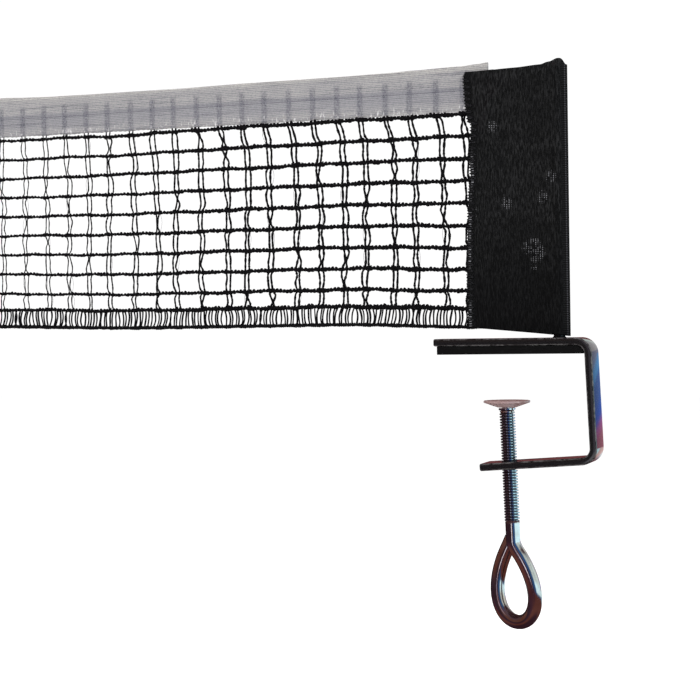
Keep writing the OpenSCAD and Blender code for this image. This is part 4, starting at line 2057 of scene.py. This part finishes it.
@dataclass
class Sleeve:
    """Woven pocket over the post: one cloth folded past the post and closed along its top.

    Lengths are in millimetres; x is counted from the post's axis.

    Attributes:
        flap_half: Half the thickness of the flat part, to the middle of its cloth; fold_half is
            the same at fold_from, where the fold starts.
        flap_span: Where the flap leaves the post, and where it is flat.
        closed: Half the thickness along the top, left and right of closed_at.
        pinch: How far below the top the pocket starts to close, and is closed.
        bottom_line: The height of the lower edge at the post and its rise for each millimetre.
        left_stops: By height, the free edge; top_stops is the top edge, by place.
        worn: The middles of the worn places; worn_r is their reach, across and up.
        waves: The heights of the wrinkles, the last of them its own on each flap.
        stitch: The height of one zigzag of the overlock.
        laps: The thread's stops in a zigzag: its reach from the edge, its face, 0 at the edge,
            and the rise that follows, as a share of the stitch.
        cut: The flat width and height of the cloth, in metres; not used.
        crowding: The power that draws its points together toward the fold.
    """

    post_x: float = POST_X
    pocket_r: float = 3.35
    cloth_t: float = 0.7
    flap_half: float = 1.75
    flap_span: Point2 = (-1.8, -14.0)
    fold_x: float = 5.75
    fold_from: float = 3.2
    fold_half: float = 0.95
    closed: Point2 = (1.5, 0.5)
    closed_at: float = -34.0
    pinch: Point2 = (5.5, 0.3)
    bottom_line: Point2 = (9.75, -0.097)
    left_stops: tuple[Point2, ...] = ((13, -49.4), (40, -49.5), (62, -49.1), (85, -48.3),
                                      (96, -46.9), (103, -47.3), (112, -47.1), (121, -46.5),
                                      (124.6, -46.3), (125.8, -48.3), (132, -49.1),
                                      (140, -49.8), (149, -50.2), (153, -49.6))
    top_stops: tuple[Point2, ...] = ((-50, 152.4), (-22, 153.2), (-8.6, 153.9), (-3.7, 155.1),
                                     (1.2, 156.7), (2.4, 156.6), (5.8, 153.0))
    worn: tuple[Point2, ...] = ((-2.6, 93.9), (-7.4, 83.3), (-27.2, 80.9), (-45.9, 76.2),
                                (-12.1, 59.0), (-8.9, 54.1), (-12.2, 48.3), (-34.9, 122.1),
                                (-16.5, 56.5))
    worn_r: Point2 = (2.6, 3.2)
    waves: tuple[float, ...] = (0.22, 0.14, 0.10, 0.12)
    stitch: float = 3.3
    laps: tuple[Point3, ...] = ((3.5, 1, 0.40), (0.1, 1, 0.05), (-0.5, 0, 0.05), (0.1, -1, 0.0),
                                (3.5, -1, 0.40), (0.1, -1, 0.05), (-0.5, 0, 0.05), (0.1, 1, 0.0))
    thread_r: float = 0.32
    cut: Point2 = (0.1085, 0.1440)
    columns: int = 66
    levels: int = 150
    crowding: float = 1.35
    seed: int = 3

    def bottom(self, x: float) -> float:
        """The height of the lower edge at x."""
        at_post, rise = self.bottom_line
        return at_post + rise * x

    def half(self, x: float, z: float) -> float:
        """Half the pocket's thickness, to the middle of its cloth.

        Args:
            x: The place across.
            z: The height.

        Returns:
            Half the thickness there.
        """
        round_r = self.pocket_r + self.cloth_t / 2
        leaves, flat = self.flap_span
        if x > leaves:
            body = math.sqrt(max(round_r ** 2 - min(x, round_r) ** 2, 0.0))
            if x > 0:
                share = max(x - self.fold_from, 0) / (self.fold_x - self.fold_from)
                body = max(body, self.fold_half * math.sqrt(max(1 - share ** 3, 0.0)))
        else:
            tangent = math.sqrt(round_r ** 2 - leaves ** 2)
            body = lerp(tangent, self.flap_half, smoothstep(leaves, flat, x))
        top = through(self.top_stops, x)
        closed = self.closed[x >= self.closed_at]
        pinch = smoothstep(top - self.pinch[0], top - self.pinch[1], z)
        return lerp(body, min(body, closed), pinch)

    def line(self, across: float, up: float) -> Point2:
        """The place of a point of the flap.

        Args:
            across: Its share of the way from the free edge to the fold.
            up: Its share of the way from the lower edge to the top.

        Returns:
            Its x and z.
        """
        x, z = 0.0, lerp(14, 153, up)  # a first guess, which the rounds below mend
        for _ in range(3):
            x = lerp(through(self.left_stops, z), self.fold_x, across)
            z = lerp(self.bottom(x), through(self.top_stops, x), up)
        return x, z

    def wear(self, x: float, z: float) -> float:
        """How worn the cloth is.

        Args:
            x: The place along the net.
            z: The height.

        Returns:
            The wear, from 0 to 1.
        """
        across, up = self.worn_r
        return min(sum(math.exp(-((x - a) / across) ** 2 - ((z - b) / up) ** 2)
                       for a, b in self.worn), 1.0)

    def build_overlock(self) -> bpy.types.Object:
        """The thread that wraps the free edge of each flap, zigzag on both faces.

        Returns:
            The object.
        """
        strands = Strands(6)
        outline = circle(self.thread_r * MILLI, 6)
        for side in (-1, 1):
            knots = []
            z = self.bottom(self.left_stops[0][1]) + 0.6
            while z < self.left_stops[-1][0] - 3.4:
                for inset, face, rise in self.laps:
                    x = through(self.left_stops, z) + inset
                    y = side * (self.half(x, z)
                                + face * (self.cloth_t / 2 + self.thread_r * 0.9))
                    knots.append((self.post_x + x, y, z))
                    z += rise * self.stitch
            strands.add(curve_through(np.array(knots), 3) * MILLI, outline, Vector((0, 0.1, 1)))
        thread = CordYarn("overlock_thread", (0.004, 0.004, 0.0045), (0.020, 0.019, 0.021))
        return strands.build("sleeve_overlock", thread.make())

    def wrinkle(self, phase: Sequence[float], x: float, z: float) -> float:
        """How far the whole sleeve waves out of its plane, fading toward the post.

        Args:
            phase: The start of each wave.
            x: The place across.
            z: The height.

        Returns:
            The change of y.
        """
        return (self.waves[0] * math.sin(z / 17 + x / 21 + phase[0])
                + self.waves[1] * math.sin(x / 5.3 + z / 40 + phase[1])
                + self.waves[2] * math.sin(z / 6.1 - x / 9 + phase[2])) * smoothstep(4, -6, x)

    def build(self) -> None:
        wrinkles = random.Random(self.seed)
        phase = [wrinkles.uniform(*ANY_PHASE) for _ in self.waves]
        shares = [1 - (1 - k / self.columns) ** self.crowding for k in range(self.columns + 1)]
        around = [(a, -1) for a in shares] + [(a, 1) for a in reversed(shares[:-1])]
        points, inset, worn = [], [], []
        for j in range(self.levels + 1):
            up = j / self.levels
            for across, side in around:
                x, z = self.line(across, up)
                own = self.waves[3] * math.sin(x / 6.7 + side + phase[3])
                y = side * (self.half(x, z) + own * smoothstep(0.08, 0.2, across))
                y += self.wrinkle(phase, x, z) * smoothstep(0.0, 0.12, across)
                points.append((self.post_x + x, y, z))
                inset.append(x - through(self.left_stops, z))
                worn.append(self.wear(x, z))
        n = len(around)
        faces = [[j * n + k, j * n + k + 1, (j + 1) * n + k + 1, (j + 1) * n + k]
                 for j in range(self.levels) for k in range(n - 1)]
        cloth = RibbedCloth("sleeve_cloth", self.post_x, self.fold_x).make()
        sleeve = piece("post_sleeve", np.array(points) * MILLI, faces, cloth, 70,
                       {"inset": np.array(inset), "worn": np.array(worn)})
        thickened(sleeve, self.cloth_t)
        fit(sleeve, Body.NET, "net_sleeve")
        fit(self.build_overlock(), Body.NET)


def main() -> None:
    """Builds the stage and the object's sub-assemblies in order."""
    logging.basicConfig(level=logging.INFO)
    Stage().build()
    Bracket().build()
    EyeScrew().build()
    net = Netting()
    net.build()
    Tape(net).build()
    Sleeve().build()


if __name__ == "__main__":
    main()
